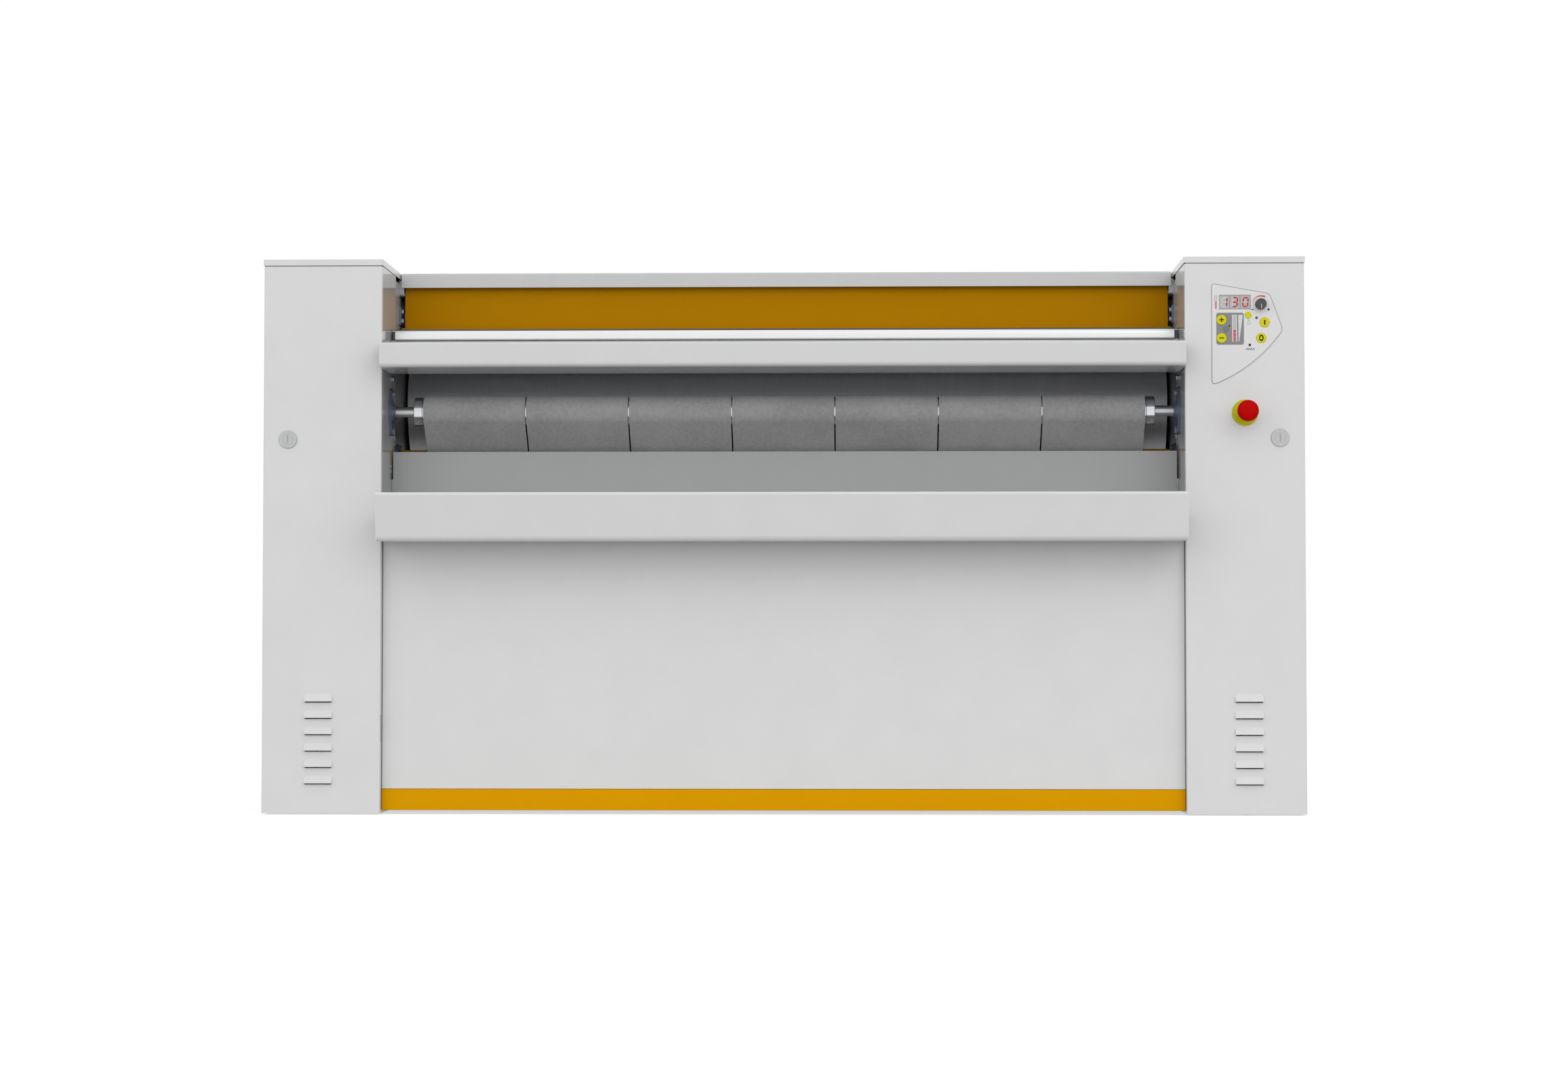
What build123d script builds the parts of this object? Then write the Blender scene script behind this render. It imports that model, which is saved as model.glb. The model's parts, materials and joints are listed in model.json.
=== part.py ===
from build123d import *
import os
from math import asin, atan2, cos, hypot, pi, radians, sin, tan

# Flatwork ironer with a heated cylinder, belts that press the linen to it, and a tray in front.
# Millimetres. X runs along the cylinder, Y runs from the operator to the back, Z is up.
# A depth is measured back from the columns' front face, a height up from the columns' lower edge.
# The upper works hang on the columns' upper edge, so their heights are written down from it.

# ---------------------------------------------------------------- driving dimensions
WORKING_WIDTH = 1400.0      # nominal width of the linen that the machine takes
WALL_SPACE = 44.5           # from the working width's end to the column beside it
COLUMN_WIDTH = 220.5
COLUMN_DEPTH = 600.0
COLUMN_HEIGHT = 1017.0      # up to the cap's lower edge
FLOOR_GAP = 3.0             # the casings end this far above the floor
SPIGOT_REACH = 40.0         # the exhaust spigot stands this far out at the back
SHEET = 2.0
SEAT = 0.3                  # clearance between curved faces that lie on each other
SHAFT_FIT = 0.05            # radial clearance of a shaft in its bore
FRAME_PLATE = 6.0

WALL_X = WORKING_WIDTH / 2 + WALL_SPACE     # inner face of a column
PLATE_X = WALL_X + SHEET                    # inner face of a side frame's plate
PLATE_OUT = PLATE_X + FRAME_PLATE
OUTER_X = WALL_X + COLUMN_WIDTH

CAP_EDGE = 11.4
CAP_LAP = 1.5
DOOR_DEPTH = 12.0
DOOR_GAP = 1.5
DOOR_BEND = 2.5
CASING_START = 14.0         # depth at which the fixed casing begins behind the door
CASING_RETURN = 172.0       # depth at which the painted inner casing ends
FRAME_START = 16.0
FRAME_BACK = COLUMN_DEPTH - 4.0
FRAME_FOOT = 12.0
FRAME_TOP = COLUMN_HEIGHT - 7.0
RAIL_HEIGHT = 24.0          # rails across the frame's foot, which the levelling feet screw into
RAIL_HALF = 20.0

HINGE_INSET = 5.5
HINGE_RADIUS = 3.5
HINGE_PIN = 2.0
HINGE_HEIGHTS = (150.0, COLUMN_HEIGHT - 471.0, COLUMN_HEIGHT - 171.0)
HINGE_LEAF = 28.0
HINGE_KNUCKLE = 15.0        # height of a hinge's fixed knuckle

LOCK_X = OUTER_X - 46.0
LOCK_HEIGHT = COLUMN_HEIGHT - 324.0
LOCK_FLANGE = 16.75
LOCK_BARREL = 13.0
LOCK_CORE = 10.0
LOCK_SLOT = (15.0, 2.0, 1.6)
CAM_DEPTH = 19.0
CAM_WIDTH = 16.0
STRIKE_DEPTH = 16.5
STRIKE_WIDTH = 20.0
STRIKE_FOOT = 40.0
STRIKE_TOP = COLUMN_HEIGHT - 27.0
CAM_REACH = OUTER_X - SHEET - LOCK_X - 3.0  # turned out, the cam ends this far from the side

LOUVRE_X = OUTER_X - 105.0
LOUVRE_WIDTH = 52.0
LOUVRE_HEIGHT = 14.5
LOUVRE_RISE = 6.0
LOUVRE_WALL = 1.2
LOUVRE_LIP = 2.0            # height of the hood's upright edge over its mouth
LOUVRE_FIRST = 54.9
LOUVRE_PITCH = 30.3
LOUVRE_COUNT = 6

PANEL_DEPTH = 20.0
PANEL_RETURN = 20.0
PLINTH_BOTTOM = 4.9
PLINTH_TOP = 43.9
PANEL_BOTTOM = PLINTH_TOP + 0.5
PANEL_SIDE_GAP = 0.5

SHELF_HALF = WALL_X - 2.0
SHELF_TOP = COLUMN_HEIGHT - 148.5
SHELF_BOTTOM = SHELF_TOP - 45.8
SHELF_FRONT = -50.0
SHELF_BACK = 120.0
SHELF_FLANGE_BACK = 95.0
NOSE_FRONT = 100.0
NOSE_DEPTH = 22.0
NOSE_HEIGHT = 22.0
NOSE_WALL = 2.0
NOSE_CORNER = 3.0
NOSE_ROLL = 12.0            # radius of the upper front edge, which the linen slides over
NOSE_TOP = SHELF_TOP + 40.5
NOSE_HALF = WALL_X - 9.5
RISER_DEPTH = NOSE_FRONT + 4.0
FEED_PLATE_TOP = NOSE_TOP - 2.0

TRAY_HALF = WALL_X - 3.5
TRAY_BACK = 124.0
TRAY_BACK_TOP = COLUMN_HEIGHT - 340.0
TRAY_RAIL_TOP = COLUMN_HEIGHT - 428.0
TRAY_RAIL_BOTTOM = COLUMN_HEIGHT - 518.0
TRAY_RAIL_FRONT = 110.0     # the rail's top edge stands this far in front of the columns
TRAY_RAIL_LEAN = 22.0       # and its foot this much less far
TRAY_HEM = 14.0             # the rail's top edge is folded back this far
TRAY_CORNER = 5.5
PANEL_TOP = TRAY_RAIL_BOTTOM + 7.0

COVER_FRONT = 220.0
COVER_TOP = COLUMN_HEIGHT + CAP_EDGE
COVER_LIP = 28.0
COVER_HALF = WALL_X - 3.5
GUARD_DEPTH = COVER_FRONT + 15.0
GUARD_HALF = WALL_X - 9.0
GUARD_FOOT_HALF = WALL_X - 3.5
GUARD_BOTTOM = NOSE_TOP + 12.0
GUARD_TOP = COLUMN_HEIGHT - 19.0
GUARD_FOOT = 8.0
PIVOT_DEPTH = GUARD_DEPTH + 8.0
PIVOT_HEIGHT = GUARD_TOP - 7.0
PIVOT_RADIUS = 3.0
BRACKET_GAUGE = 1.5
BRACKET_STEP = COLUMN_HEIGHT - 2.0
EAR_GAP = 0.8               # between the guard's ear and the collar on its pivot

CYLINDER_RADIUS = 125.0
CYLINDER_WALL = 8.0
CYLINDER_DEPTH = FRAME_BACK - 166.0
CYLINDER_HEIGHT = FEED_PLATE_TOP + 3.0 - CYLINDER_RADIUS
CYLINDER_HALF = WALL_X - 4.5
FEED_PLATE_BACK = CYLINDER_DEPTH - 45.0
JOURNAL_RADIUS = 30.0
JOURNAL_BORE = 20.0
JOURNAL_END = PLATE_OUT + 67.5
HEATER_TUBE = 12.0
HEATER_ROD = 6.0
HEATER_CIRCLE = 70.0
HEATER_COUNT = 6
HEATER_HALF = CYLINDER_HALF - 40.0
HEATER_ARM = 6.0
HEATER_DROP = 150.0         # the arms' feet lie this far under the cylinder's axis

ROLLER_RADIUS = 27.5
ROLLER_WALL = 3.0
ROLLER_SHORT = 3.5          # a roller's tube ends this far inside the working width
ROLLER_HALF = WORKING_WIDTH / 2 - ROLLER_SHORT
ROLLER_SHAFT = 10.0
RING_WIDTH = 16.5
FEED_ROLLER = (GUARD_DEPTH + 43.0, FEED_PLATE_TOP + 40.0)      # depth and height of the axis
OUTFEED_ROLLER = (105.0, COLUMN_HEIGHT - 266.0)
RETURN_ROLLER = (205.0, COLUMN_HEIGHT - 365.0)
REAR_LOWER_ROLLER = (FRAME_BACK - 51.0, COLUMN_HEIGHT - 397.0)
REAR_UPPER_ROLLER = (FRAME_BACK - 51.0, COLUMN_HEIGHT - 72.0)
BEAM_TOP = COLUMN_HEIGHT - 329.0
BEAM_HEIGHT = 30.0
BEAM_FRONT = 240.0
BEAM_DEPTH = 35.0
TUBE = 40.0                 # square tubes across the machine
TUBE_LOW = 30.0
TIE_FRONT = 300.0
BELT_THICKNESS = 3.0
BELT_COUNT = 7
BELT_GAP = 2.5              # between one belt and the next
BELT_PITCH = 2 * (ROLLER_HALF - RING_WIDTH - 1.0) / BELT_COUNT
BELT_WIDTH = BELT_PITCH - BELT_GAP

BEARING_LENGTH = 90.0       # oval flange units of the rollers
BEARING_BODY = 23.5
BEARING_FLANGE = 5.0
BEARING_BOSS = 12.0
BEARING_BOLTS = 71.0        # between the two bolts of a unit
CYLINDER_UNIT = 130.0       # square flange units of the cylinder
CYLINDER_UNIT_BOLTS = 98.0
CYLINDER_UNIT_BOSS = 36.0
BUSH_BOSS = 16.0
BUSH_SCREWS = 18.0          # between the two screws of a feed roller's bush
BUSH_SCREW_REACH = 40.0
BUSH_FOOT = 4.0
BOLT_RADIUS = 4.0

CHAIN_PITCH = 12.7
CYLINDER_TEETH = 57
MOTOR_TEETH = 15
SPROCKET_WIDTH = 7.2
SPROCKET_X = PLATE_OUT + 51.1       # middle of both sprockets, on the left side
MOTOR_HEIGHT = 330.0
MOTOR_SHAFT = 12.0
MOTOR_LENGTH = 176.0
MOTOR_RADIUS = 52.0
GEARBOX_HALF = 66.0
GEARBOX_FACE = SPROCKET_X + 22.4
GEARBOX_BACK = OUTER_X - SHEET - 23.0
SHELF_PLATE = 8.0           # thickness of the shelf under the gearbox
SHELF_REACH = 80.0          # in front of and behind the gearbox's middle
SHELF_GUSSET = 114.0

OVERLAY_X = WALL_X + 49.0           # lower corner of the control overlay
OVERLAY_FOOT = COLUMN_HEIGHT - 227.8
OVERLAY_CORNER = 7.0
ESTOP_X = OVERLAY_X + 61.2
ESTOP_HEIGHT = OVERLAY_FOOT - 49.9
ESTOP_COLLAR = 24.0
ESTOP_DISC = 3.0            # thickness of the collar
ESTOP_BOSS = 12.0           # the threaded neck stands this far out of the door
ESTOP_CAP = 19.6
ESTOP_REACH = 58.0
ESTOP_TRAVEL = 6.0
ESTOP_NECK = 11.0           # radius of the threaded neck through the door
ESTOP_PLUNGER = 8.0

KEY_RADIUS = 9.0
SMALL_KEY_RADIUS = 5.8
KEY_STEM = 2.5
KEY_PROUD = 1.2
KEY_TRAVEL = 0.8
KEYS = {                    # node: X, height, radius
    "key_faster": (OVERLAY_X + 18.8, OVERLAY_FOOT + 121.8, KEY_RADIUS),
    "key_slower": (OVERLAY_X + 18.8, OVERLAY_FOOT + 88.1, KEY_RADIUS),
    "key_set": (OVERLAY_X + 67.9, OVERLAY_FOOT + 130.3, SMALL_KEY_RADIUS),
    "key_start": (OVERLAY_X + 98.3, OVERLAY_FOOT + 116.9, KEY_RADIUS),
    "key_stop": (OVERLAY_X + 91.8, OVERLAY_FOOT + 88.1, KEY_RADIUS),
}
KNOB = (OVERLAY_X + 90.9, OVERLAY_FOOT + 150.6)
KNOB_RADIUS = 10.0
KNOB_LENGTH = 12.0
KNOB_SHAFT = 3.0
DISPLAY = (OVERLAY_X + 14.5, OVERLAY_X + 72.5, OVERLAY_FOOT + 141.4, OVERLAY_FOOT + 168.0)
LAMPS = ((OVERLAY_X + 83.3, OVERLAY_FOOT + 125.5), (OVERLAY_X + 70.6, OVERLAY_FOOT + 75.3))
LAMP_RADIUS = 2.2
OVERLAY_THICKNESS = 1.0
BOARD_DEPTH = 8.0

FAN_X = PLATE_OUT + 62.5
FAN_DEPTH = COLUMN_DEPTH - 130.0
FAN_HEIGHT = 430.0
FAN_RADIUS = 95.0
FAN_WIDTH = 100.0
FAN_BLADES = 12
FAN_INLET = 50.0            # radius of the hole in the drum's side
FAN_DUCT = 60.0             # half width of the duct from the frame's plate
FAN_SHAFT = 6.0
FAN_MOTOR = 38.0
FAN_MOTOR_LENGTH = 45.0
SPIGOT_RADIUS = 50.0
SPIGOT_COLLAR = 2.0         # the spigot's collar is this much larger and ends flush with the panel

GLAND_X = OUTER_X - 60.0
GLAND_HEIGHT = 120.0
GLAND_BORE = 8.0
GLAND_NECK = 12.0
GLAND_NUT = 17.0
FOOT_RADIUS = 22.0
FOOT_STUD = 6.0
FOOT_X = OUTER_X - 105.0
FOOT_DEPTHS = (80.0, COLUMN_DEPTH - 80.0)

BOARD_FRONT = 120.0         # electrical board on the right side panel
BOARD_LENGTH = 310.0
BOARD_FOOT = 560.0
BOARD_HEIGHT = 340.0
BOARD_GAUGE = 3.0
BOARD_STANDOFF = 5.0
BOARD_PARTS = (             # from the board's lower front corner: depth, height, then the size
    (30.0, 240.0, 50.0, 80.0, 60.0),
    (95.0, 240.0, 50.0, 80.0, 60.0),
    (160.0, 240.0, 50.0, 80.0, 60.0),
    (30.0, 120.0, 110.0, 90.0, 75.0),
    (170.0, 130.0, 110.0, 90.0, 45.0),
    (30.0, 30.0, 250.0, 50.0, 40.0),
)

# ---------------------------------------------------------------- derived places
TOTAL_DEPTH = TRAY_RAIL_FRONT + COLUMN_DEPTH + SPIGOT_REACH
FACE_Y = TRAY_RAIL_FRONT - TOTAL_DEPTH / 2
NOSE_BOTTOM = NOSE_TOP - NOSE_HEIGHT
TRAY_RAIL_FOOT = TRAY_RAIL_FRONT - TRAY_RAIL_LEAN
CASING_TOP = COLUMN_HEIGHT + CAP_EDGE - SHEET       # the casings end under the cap's sheet


def back(depth):
    """Y of a place this far behind the columns' front face."""
    return FACE_Y + depth


def up(height):
    """Z of a place this far above the columns' lower edge."""
    return FLOOR_GAP + height


def at(x, depth, height):
    return Pos(x, back(depth), up(height))


def block(x0, x1, d0, d1, z0, z1):
    """A box between two X values, two depths and two heights."""
    middle = at((x0 + x1) / 2, (d0 + d1) / 2, (z0 + z1) / 2)
    return middle * Box(abs(x1 - x0), abs(d1 - d0), abs(z1 - z0))


def bar_x(x0, x1, depth, height, radius):
    """A round bar along X."""
    middle = at((x0 + x1) / 2, depth, height)
    return middle * Rot(0, 90, 0) * Cylinder(radius, abs(x1 - x0))


def bar_y(x, d0, d1, height, radius):
    """A round bar along Y."""
    middle = at(x, (d0 + d1) / 2, height)
    return middle * Rot(90, 0, 0) * Cylinder(radius, abs(d1 - d0))


def bar_z(x, depth, z0, z1, radius):
    """A round bar along Z."""
    return at(x, depth, (z0 + z1) / 2) * Cylinder(radius, abs(z1 - z0))


def across(face, x0, x1):
    """A face drawn in depth and height, drawn out along X."""
    placed = Pos(x0, 0, 0) * (Plane.YZ * face)
    return extrude(placed, amount=x1 - x0, dir=(1, 0, 0))


def profile(*points):
    """A face in depth and height with straight sides."""
    return make_face(Polyline(*[(back(d), up(z)) for d, z in points], close=True))


def folded(points, bends, half_width):
    """A folded sheet along X; the points are on its middle line."""
    line = FilletPolyline(*[(back(d), up(z)) for d, z in points], radius=bends)
    return across(trace(line, SHEET), -half_width, half_width)


def mirrored(shape):
    return mirror(shape, about=Plane.YZ)


def both_sides(shape):
    return [shape, mirrored(shape)]


def save(node, *solids):
    flat = []
    for item in solids:
        flat += item.solids()
    shape = flat[0] if len(flat) == 1 else Compound(children=flat)
    export_step(shape, f"parts/{node}.step")


STANDING = (Align.CENTER, Align.CENTER, Align.MIN)


# ---------------------------------------------------------------- belt and chain lines
def belt_line(wheels):
    """The closed line round wheels given as (depth, height, radius, turn).
    A turn of 1 leaves the wheel inside the line and -1 leaves it outside."""
    tangents = []
    for i, (d0, z0, r0, t0) in enumerate(wheels):
        d1, z1, r1, t1 = wheels[(i + 1) % len(wheels)]
        span = hypot(d1 - d0, z1 - z0)
        heading = atan2(z1 - z0, d1 - d0) - asin((t1 * r1 - t0 * r0) / span)
        normal = (-sin(heading), cos(heading))
        start = (d0 - t0 * r0 * normal[0], z0 - t0 * r0 * normal[1])
        end = (d1 - t1 * r1 * normal[0], z1 - t1 * r1 * normal[1])
        tangents.append((start, end))
    edges = []
    for i, (d, z, r, turn) in enumerate(wheels):
        arrive = tangents[i - 1][1]
        leave = tangents[i][0]
        first = atan2(arrive[1] - z, arrive[0] - d)
        sweep = (turn * (atan2(leave[1] - z, leave[0] - d) - first)) % (2 * pi)
        middle = first + turn * sweep / 2
        crown = (d + r * cos(middle), z + r * sin(middle))
        places = [(back(a), up(b)) for a, b in (arrive, crown, leave)]
        edges.append(ThreePointArc(*places))
        run = [(back(a), up(b)) for a, b in tangents[i]]
        edges.append(Line(*run))
    return make_face(Wire(edges))


def ironing_belts():
    inner = []
    outer = []
    for depth, height in (OUTFEED_ROLLER, RETURN_ROLLER, REAR_LOWER_ROLLER,
                          REAR_UPPER_ROLLER, FEED_ROLLER):
        inner.append((depth, height, ROLLER_RADIUS + SEAT, 1))
        outer.append((depth, height, ROLLER_RADIUS + SEAT + BELT_THICKNESS, 1))
    pressed = CYLINDER_RADIUS + SEAT
    inner.append((CYLINDER_DEPTH, CYLINDER_HEIGHT, pressed + BELT_THICKNESS, -1))
    outer.append((CYLINDER_DEPTH, CYLINDER_HEIGHT, pressed, -1))
    section = belt_line(outer) - belt_line(inner)
    belts = []
    for i in range(BELT_COUNT):
        middle = (i - (BELT_COUNT - 1) / 2) * BELT_PITCH
        belts.append(across(section, middle - BELT_WIDTH / 2, middle + BELT_WIDTH / 2))
    return belts


# ---------------------------------------------------------------- columns
def side_frame():
    """Right side plate with the two rails that the feet screw into."""
    plate = block(PLATE_X, PLATE_OUT, FRAME_START, FRAME_BACK, FRAME_FOOT, FRAME_TOP)
    rail_top = FRAME_FOOT + RAIL_HEIGHT
    plate -= bar_x(PLATE_X - 1, PLATE_OUT + 1, CYLINDER_DEPTH, CYLINDER_HEIGHT,
                   JOURNAL_RADIUS + 6)
    for depth in FOOT_DEPTHS:
        rail = block(PLATE_OUT, OUTER_X - SHEET, depth - RAIL_HALF, depth + RAIL_HALF,
                     FRAME_FOOT, rail_top)
        plate += rail - bar_z(FOOT_X, depth, FRAME_FOOT - 1, rail_top + 1, FOOT_STUD + 0.1)
    return plate


def motor_shelf():
    """Bracket on the left side plate that the gearmotor stands on."""
    front, rear = CYLINDER_DEPTH - SHELF_REACH, CYLINDER_DEPTH + SHELF_REACH
    top = MOTOR_HEIGHT - GEARBOX_HALF
    shelf = block(-GEARBOX_BACK, -PLATE_OUT, front, rear, top - SHELF_PLATE, top)
    gusset = profile((front, top - SHELF_PLATE), (rear, top - SHELF_PLATE),
                     (CYLINDER_DEPTH, top - SHELF_GUSSET))
    return shelf + across(gusset, -PLATE_OUT - SHELF_PLATE, -PLATE_OUT)


def inner_casing():
    return block(WALL_X, PLATE_X, CASING_START, CASING_RETURN, 0, CASING_TOP)


def outer_panel():
    inside = OUTER_X - SHEET
    wall = block(inside, OUTER_X, CASING_START, COLUMN_DEPTH - SHEET, 0, CASING_TOP)
    strike = block(inside - STRIKE_WIDTH, inside, STRIKE_DEPTH - SHEET, STRIKE_DEPTH,
                   STRIKE_FOOT, STRIKE_TOP)
    return wall + strike


def rear_panel(openings):
    panel = block(WALL_X, OUTER_X, COLUMN_DEPTH - SHEET, COLUMN_DEPTH, 0, CASING_TOP)
    for opening in openings:
        panel -= opening
    return panel


def top_cap():
    top = COLUMN_HEIGHT + CAP_EDGE
    shell = block(WALL_X - CAP_LAP, OUTER_X + CAP_LAP, -CAP_LAP, COLUMN_DEPTH + CAP_LAP,
                  COLUMN_HEIGHT, top)
    shell = fillet(shell.edges().filter_by(Axis.Z), CAP_LAP)
    return shell - block(WALL_X, OUTER_X, 0, COLUMN_DEPTH, COLUMN_HEIGHT - 1, top - SHEET)


def louvre(height):
    """One pressed hood with its mouth below, and the space under it."""
    def hood(wall, drop, reach):
        half = LOUVRE_WIDTH / 2 - wall
        crest = LOUVRE_HEIGHT - wall
        outline = make_face(Polyline((-half, -drop), (half, -drop), (half, crest),
                                     (-half, crest), close=True))
        corners = outline.vertices().group_by(Axis.Y)[-1]
        outline = fillet(corners, LOUVRE_HEIGHT * 0.55)
        press = Plane.XZ * outline
        prism = extrude(press, amount=LOUVRE_RISE) + extrude(press, amount=-reach)
        lip = -LOUVRE_RISE + wall
        ramp = make_face(Polyline((reach, -drop), (reach, crest), (0, crest),
                                  (lip, LOUVRE_LIP - wall), (lip, -drop), close=True))
        wedge = extrude(Plane.YZ * ramp, amount=LOUVRE_WIDTH, both=True)
        return at(LOUVRE_X, 0, height) * (prism & wedge)
    return hood(0, 0, SHEET), hood(LOUVRE_WALL, 2, 4)


def door():
    """Right front door, a shallow pan hung at its inner edge."""
    top = COLUMN_HEIGHT - DOOR_GAP
    pan = block(WALL_X, OUTER_X, 0, DOOR_DEPTH, 0, top)
    uprights = pan.edges().filter_by(Axis.Z).sort_by(Axis.Y)[:2]
    pan = fillet(uprights, DOOR_BEND)
    pan -= block(PLATE_X, OUTER_X - SHEET, SHEET, DOOR_DEPTH + 1, SHEET, top - SHEET)
    for height in HINGE_HEIGHTS:
        pan -= block(WALL_X - 1, PLATE_X + 0.1, SHEET + 0.5, DOOR_DEPTH + 1,
                     height - HINGE_KNUCKLE - 3, height + HINGE_LEAF + 3)
    for i in range(LOUVRE_COUNT):
        hood, space = louvre(LOUVRE_FIRST + i * LOUVRE_PITCH)
        pan = pan + hood - space
    pan -= bar_y(LOCK_X, -1, SHEET + 1, LOCK_HEIGHT, LOCK_BARREL + 0.2)
    axis = WALL_X + HINGE_INSET
    for height in HINGE_HEIGHTS:
        knuckle = bar_z(axis, HINGE_INSET, height + 0.5, height + HINGE_LEAF, HINGE_RADIUS)
        leaf = block(axis, axis + 26, SHEET, SHEET + 1.6, height + 0.5, height + HINGE_LEAF)
        pan += knuckle + leaf
        pan -= bar_z(axis, HINGE_INSET, height, height + HINGE_LEAF + 1,
                     HINGE_PIN + SHAFT_FIT)
    return pan


def door_hinges():
    """Fixed halves of the right door's lift-off hinges, with their pins."""
    axis = WALL_X + HINGE_INSET
    hinges = []
    for height in HINGE_HEIGHTS:
        foot = height - HINGE_KNUCKLE
        knuckle = bar_z(axis, HINGE_INSET, foot, height, HINGE_RADIUS)
        arm = block(axis - HINGE_PIN, axis + HINGE_PIN, HINGE_INSET, FRAME_START, foot, height)
        pin = bar_z(axis, HINGE_INSET, height - 1, height + HINGE_LEAF - 2, HINGE_PIN)
        hinges.append(knuckle + arm + pin)
    return hinges


def lock_barrel():
    flange = bar_y(LOCK_X, -3, 0, LOCK_HEIGHT, LOCK_FLANGE)
    flange = chamfer(flange.edges().group_by(Axis.Y)[0], 0.8)
    sleeve = bar_y(LOCK_X, -1, CAM_DEPTH - 0.5, LOCK_HEIGHT, LOCK_BARREL)
    nut = at(LOCK_X, SHEET, LOCK_HEIGHT) * Rot(90, 0, 0) * extrude(
        RegularPolygon(LOCK_BARREL + 4, 6), amount=-4)
    bore = bar_y(LOCK_X, -4, CAM_DEPTH, LOCK_HEIGHT, LOCK_CORE + SHAFT_FIT)
    return flange + sleeve + nut - bore


def lock_core():
    """Core and cam, unlocked: the cam hangs down and turns out behind the strike."""
    core = bar_y(LOCK_X, -3, CAM_DEPTH + 2, LOCK_HEIGHT, LOCK_CORE)
    long, wide, deep = LOCK_SLOT
    core -= block(LOCK_X - wide / 2, LOCK_X + wide / 2, -4, -3 + deep,
                  LOCK_HEIGHT - long / 2, LOCK_HEIGHT + long / 2)
    cam = block(LOCK_X - CAM_WIDTH / 2, LOCK_X + CAM_WIDTH / 2, CAM_DEPTH, CAM_DEPTH + 2.5,
                LOCK_HEIGHT - CAM_REACH, LOCK_HEIGHT)
    cam = fillet(cam.edges().filter_by(Axis.Y).sort_by(Axis.Z)[:2], 5)
    return core + cam


# ---------------------------------------------------------------- between the columns
def front_pan(bottom, top):
    """A panel between the columns, folded back on all four sides."""
    half = WALL_X - PANEL_SIDE_GAP
    pan = block(-half, half, PANEL_DEPTH, PANEL_DEPTH + PANEL_RETURN, bottom, top)
    return pan - block(-half + SHEET, half - SHEET, PANEL_DEPTH + SHEET,
                       PANEL_DEPTH + PANEL_RETURN + 1, bottom + SHEET, top - SHEET)


def feed_shelf():
    mid = SHEET / 2
    points = [(SHELF_BACK, SHELF_TOP - mid), (SHELF_FRONT + mid, SHELF_TOP - mid),
              (SHELF_FRONT + mid, SHELF_BOTTOM + mid), (SHELF_FLANGE_BACK, SHELF_BOTTOM + mid)]
    return folded(points, [3, 8], SHELF_HALF)


def feed_nose_bar():
    """Tube with a rolled upper front edge."""
    def outline(wall):
        front, rear = back(NOSE_FRONT + wall), back(NOSE_FRONT + NOSE_DEPTH - wall)
        foot, crest = up(NOSE_BOTTOM + wall), up(NOSE_BOTTOM + NOSE_HEIGHT - wall)
        roll, corner = NOSE_ROLL - wall, NOSE_CORNER - wall
        line = FilletPolyline((front, foot), (rear, foot), (rear, crest), (front, crest),
                              radius=[corner, corner, corner, roll], close=True)
        return make_face(line)
    return across(outline(0) - outline(NOSE_WALL), -NOSE_HALF, NOSE_HALF)


def feed_plate():
    mid = SHEET / 2
    step = NOSE_BOTTOM - mid
    behind = NOSE_FRONT + NOSE_DEPTH + mid + SEAT
    points = [(RISER_DEPTH + mid, SHELF_TOP), (RISER_DEPTH + mid, step), (behind, step),
              (behind, FEED_PLATE_TOP - mid), (FEED_PLATE_BACK, FEED_PLATE_TOP - mid)]
    return folded(points, [2, 2, 2], WALL_X - 0.5)


def linen_tray():
    mid = SHEET / 2
    low, high = TRAY_RAIL_BOTTOM, TRAY_RAIL_TOP
    foot = (-TRAY_RAIL_FOOT + mid, low + mid)
    hem = TRAY_HEM - TRAY_RAIL_FRONT
    points = [(TRAY_BACK + mid, TRAY_BACK_TOP), (TRAY_BACK + mid, low + 60),
              (TRAY_BACK - 28, low + 17), foot, (mid - TRAY_RAIL_FRONT, high - mid),
              (hem, high - mid)]
    tray = folded(points, [30, 24, 12, 4], TRAY_HALF)
    edge, rise = TRAY_HALF - TRAY_CORNER, high - TRAY_CORNER
    corner = block(edge, TRAY_HALF + 1, -TRAY_RAIL_FRONT - 1, hem + 1, rise, high + 1)
    corner -= bar_y(edge, -TRAY_RAIL_FRONT - 2, hem + 2, rise, TRAY_CORNER)
    inner = TRAY_BACK - 60
    cheek = profile((inner, low + 15), foot, (mid - TRAY_RAIL_FRONT, rise),
                    (50 - TRAY_RAIL_FRONT, high - 14), (inner, low + 38))
    ends = both_sides(across(cheek, TRAY_HALF - SHEET, TRAY_HALF))
    corners = both_sides(corner)
    return tray + ends[0] + ends[1] - corners[0] - corners[1]


def top_cover():
    mid = SHEET / 2
    low = COVER_TOP - COVER_LIP
    points = [(COVER_FRONT + mid, low), (COVER_FRONT + mid, COVER_TOP - mid),
              (FRAME_BACK + mid, COVER_TOP - mid), (FRAME_BACK + mid, low)]
    return folded(points, [2.5, 2.5], COVER_HALF)


def rear_cover():
    half = PLATE_X + FRAME_PLATE / 2
    return block(-half, half, FRAME_BACK, FRAME_BACK + SHEET, 20, COVER_TOP - COVER_LIP - 1)


def tube_x(half, d0, d1, z0, z1, wall=3.0):
    tube = block(-half, half, d0, d1, z0, z1)
    return tube - block(-half - 1, half + 1, d0 + wall, d1 - wall, z0 + wall, z1 - wall)


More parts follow.
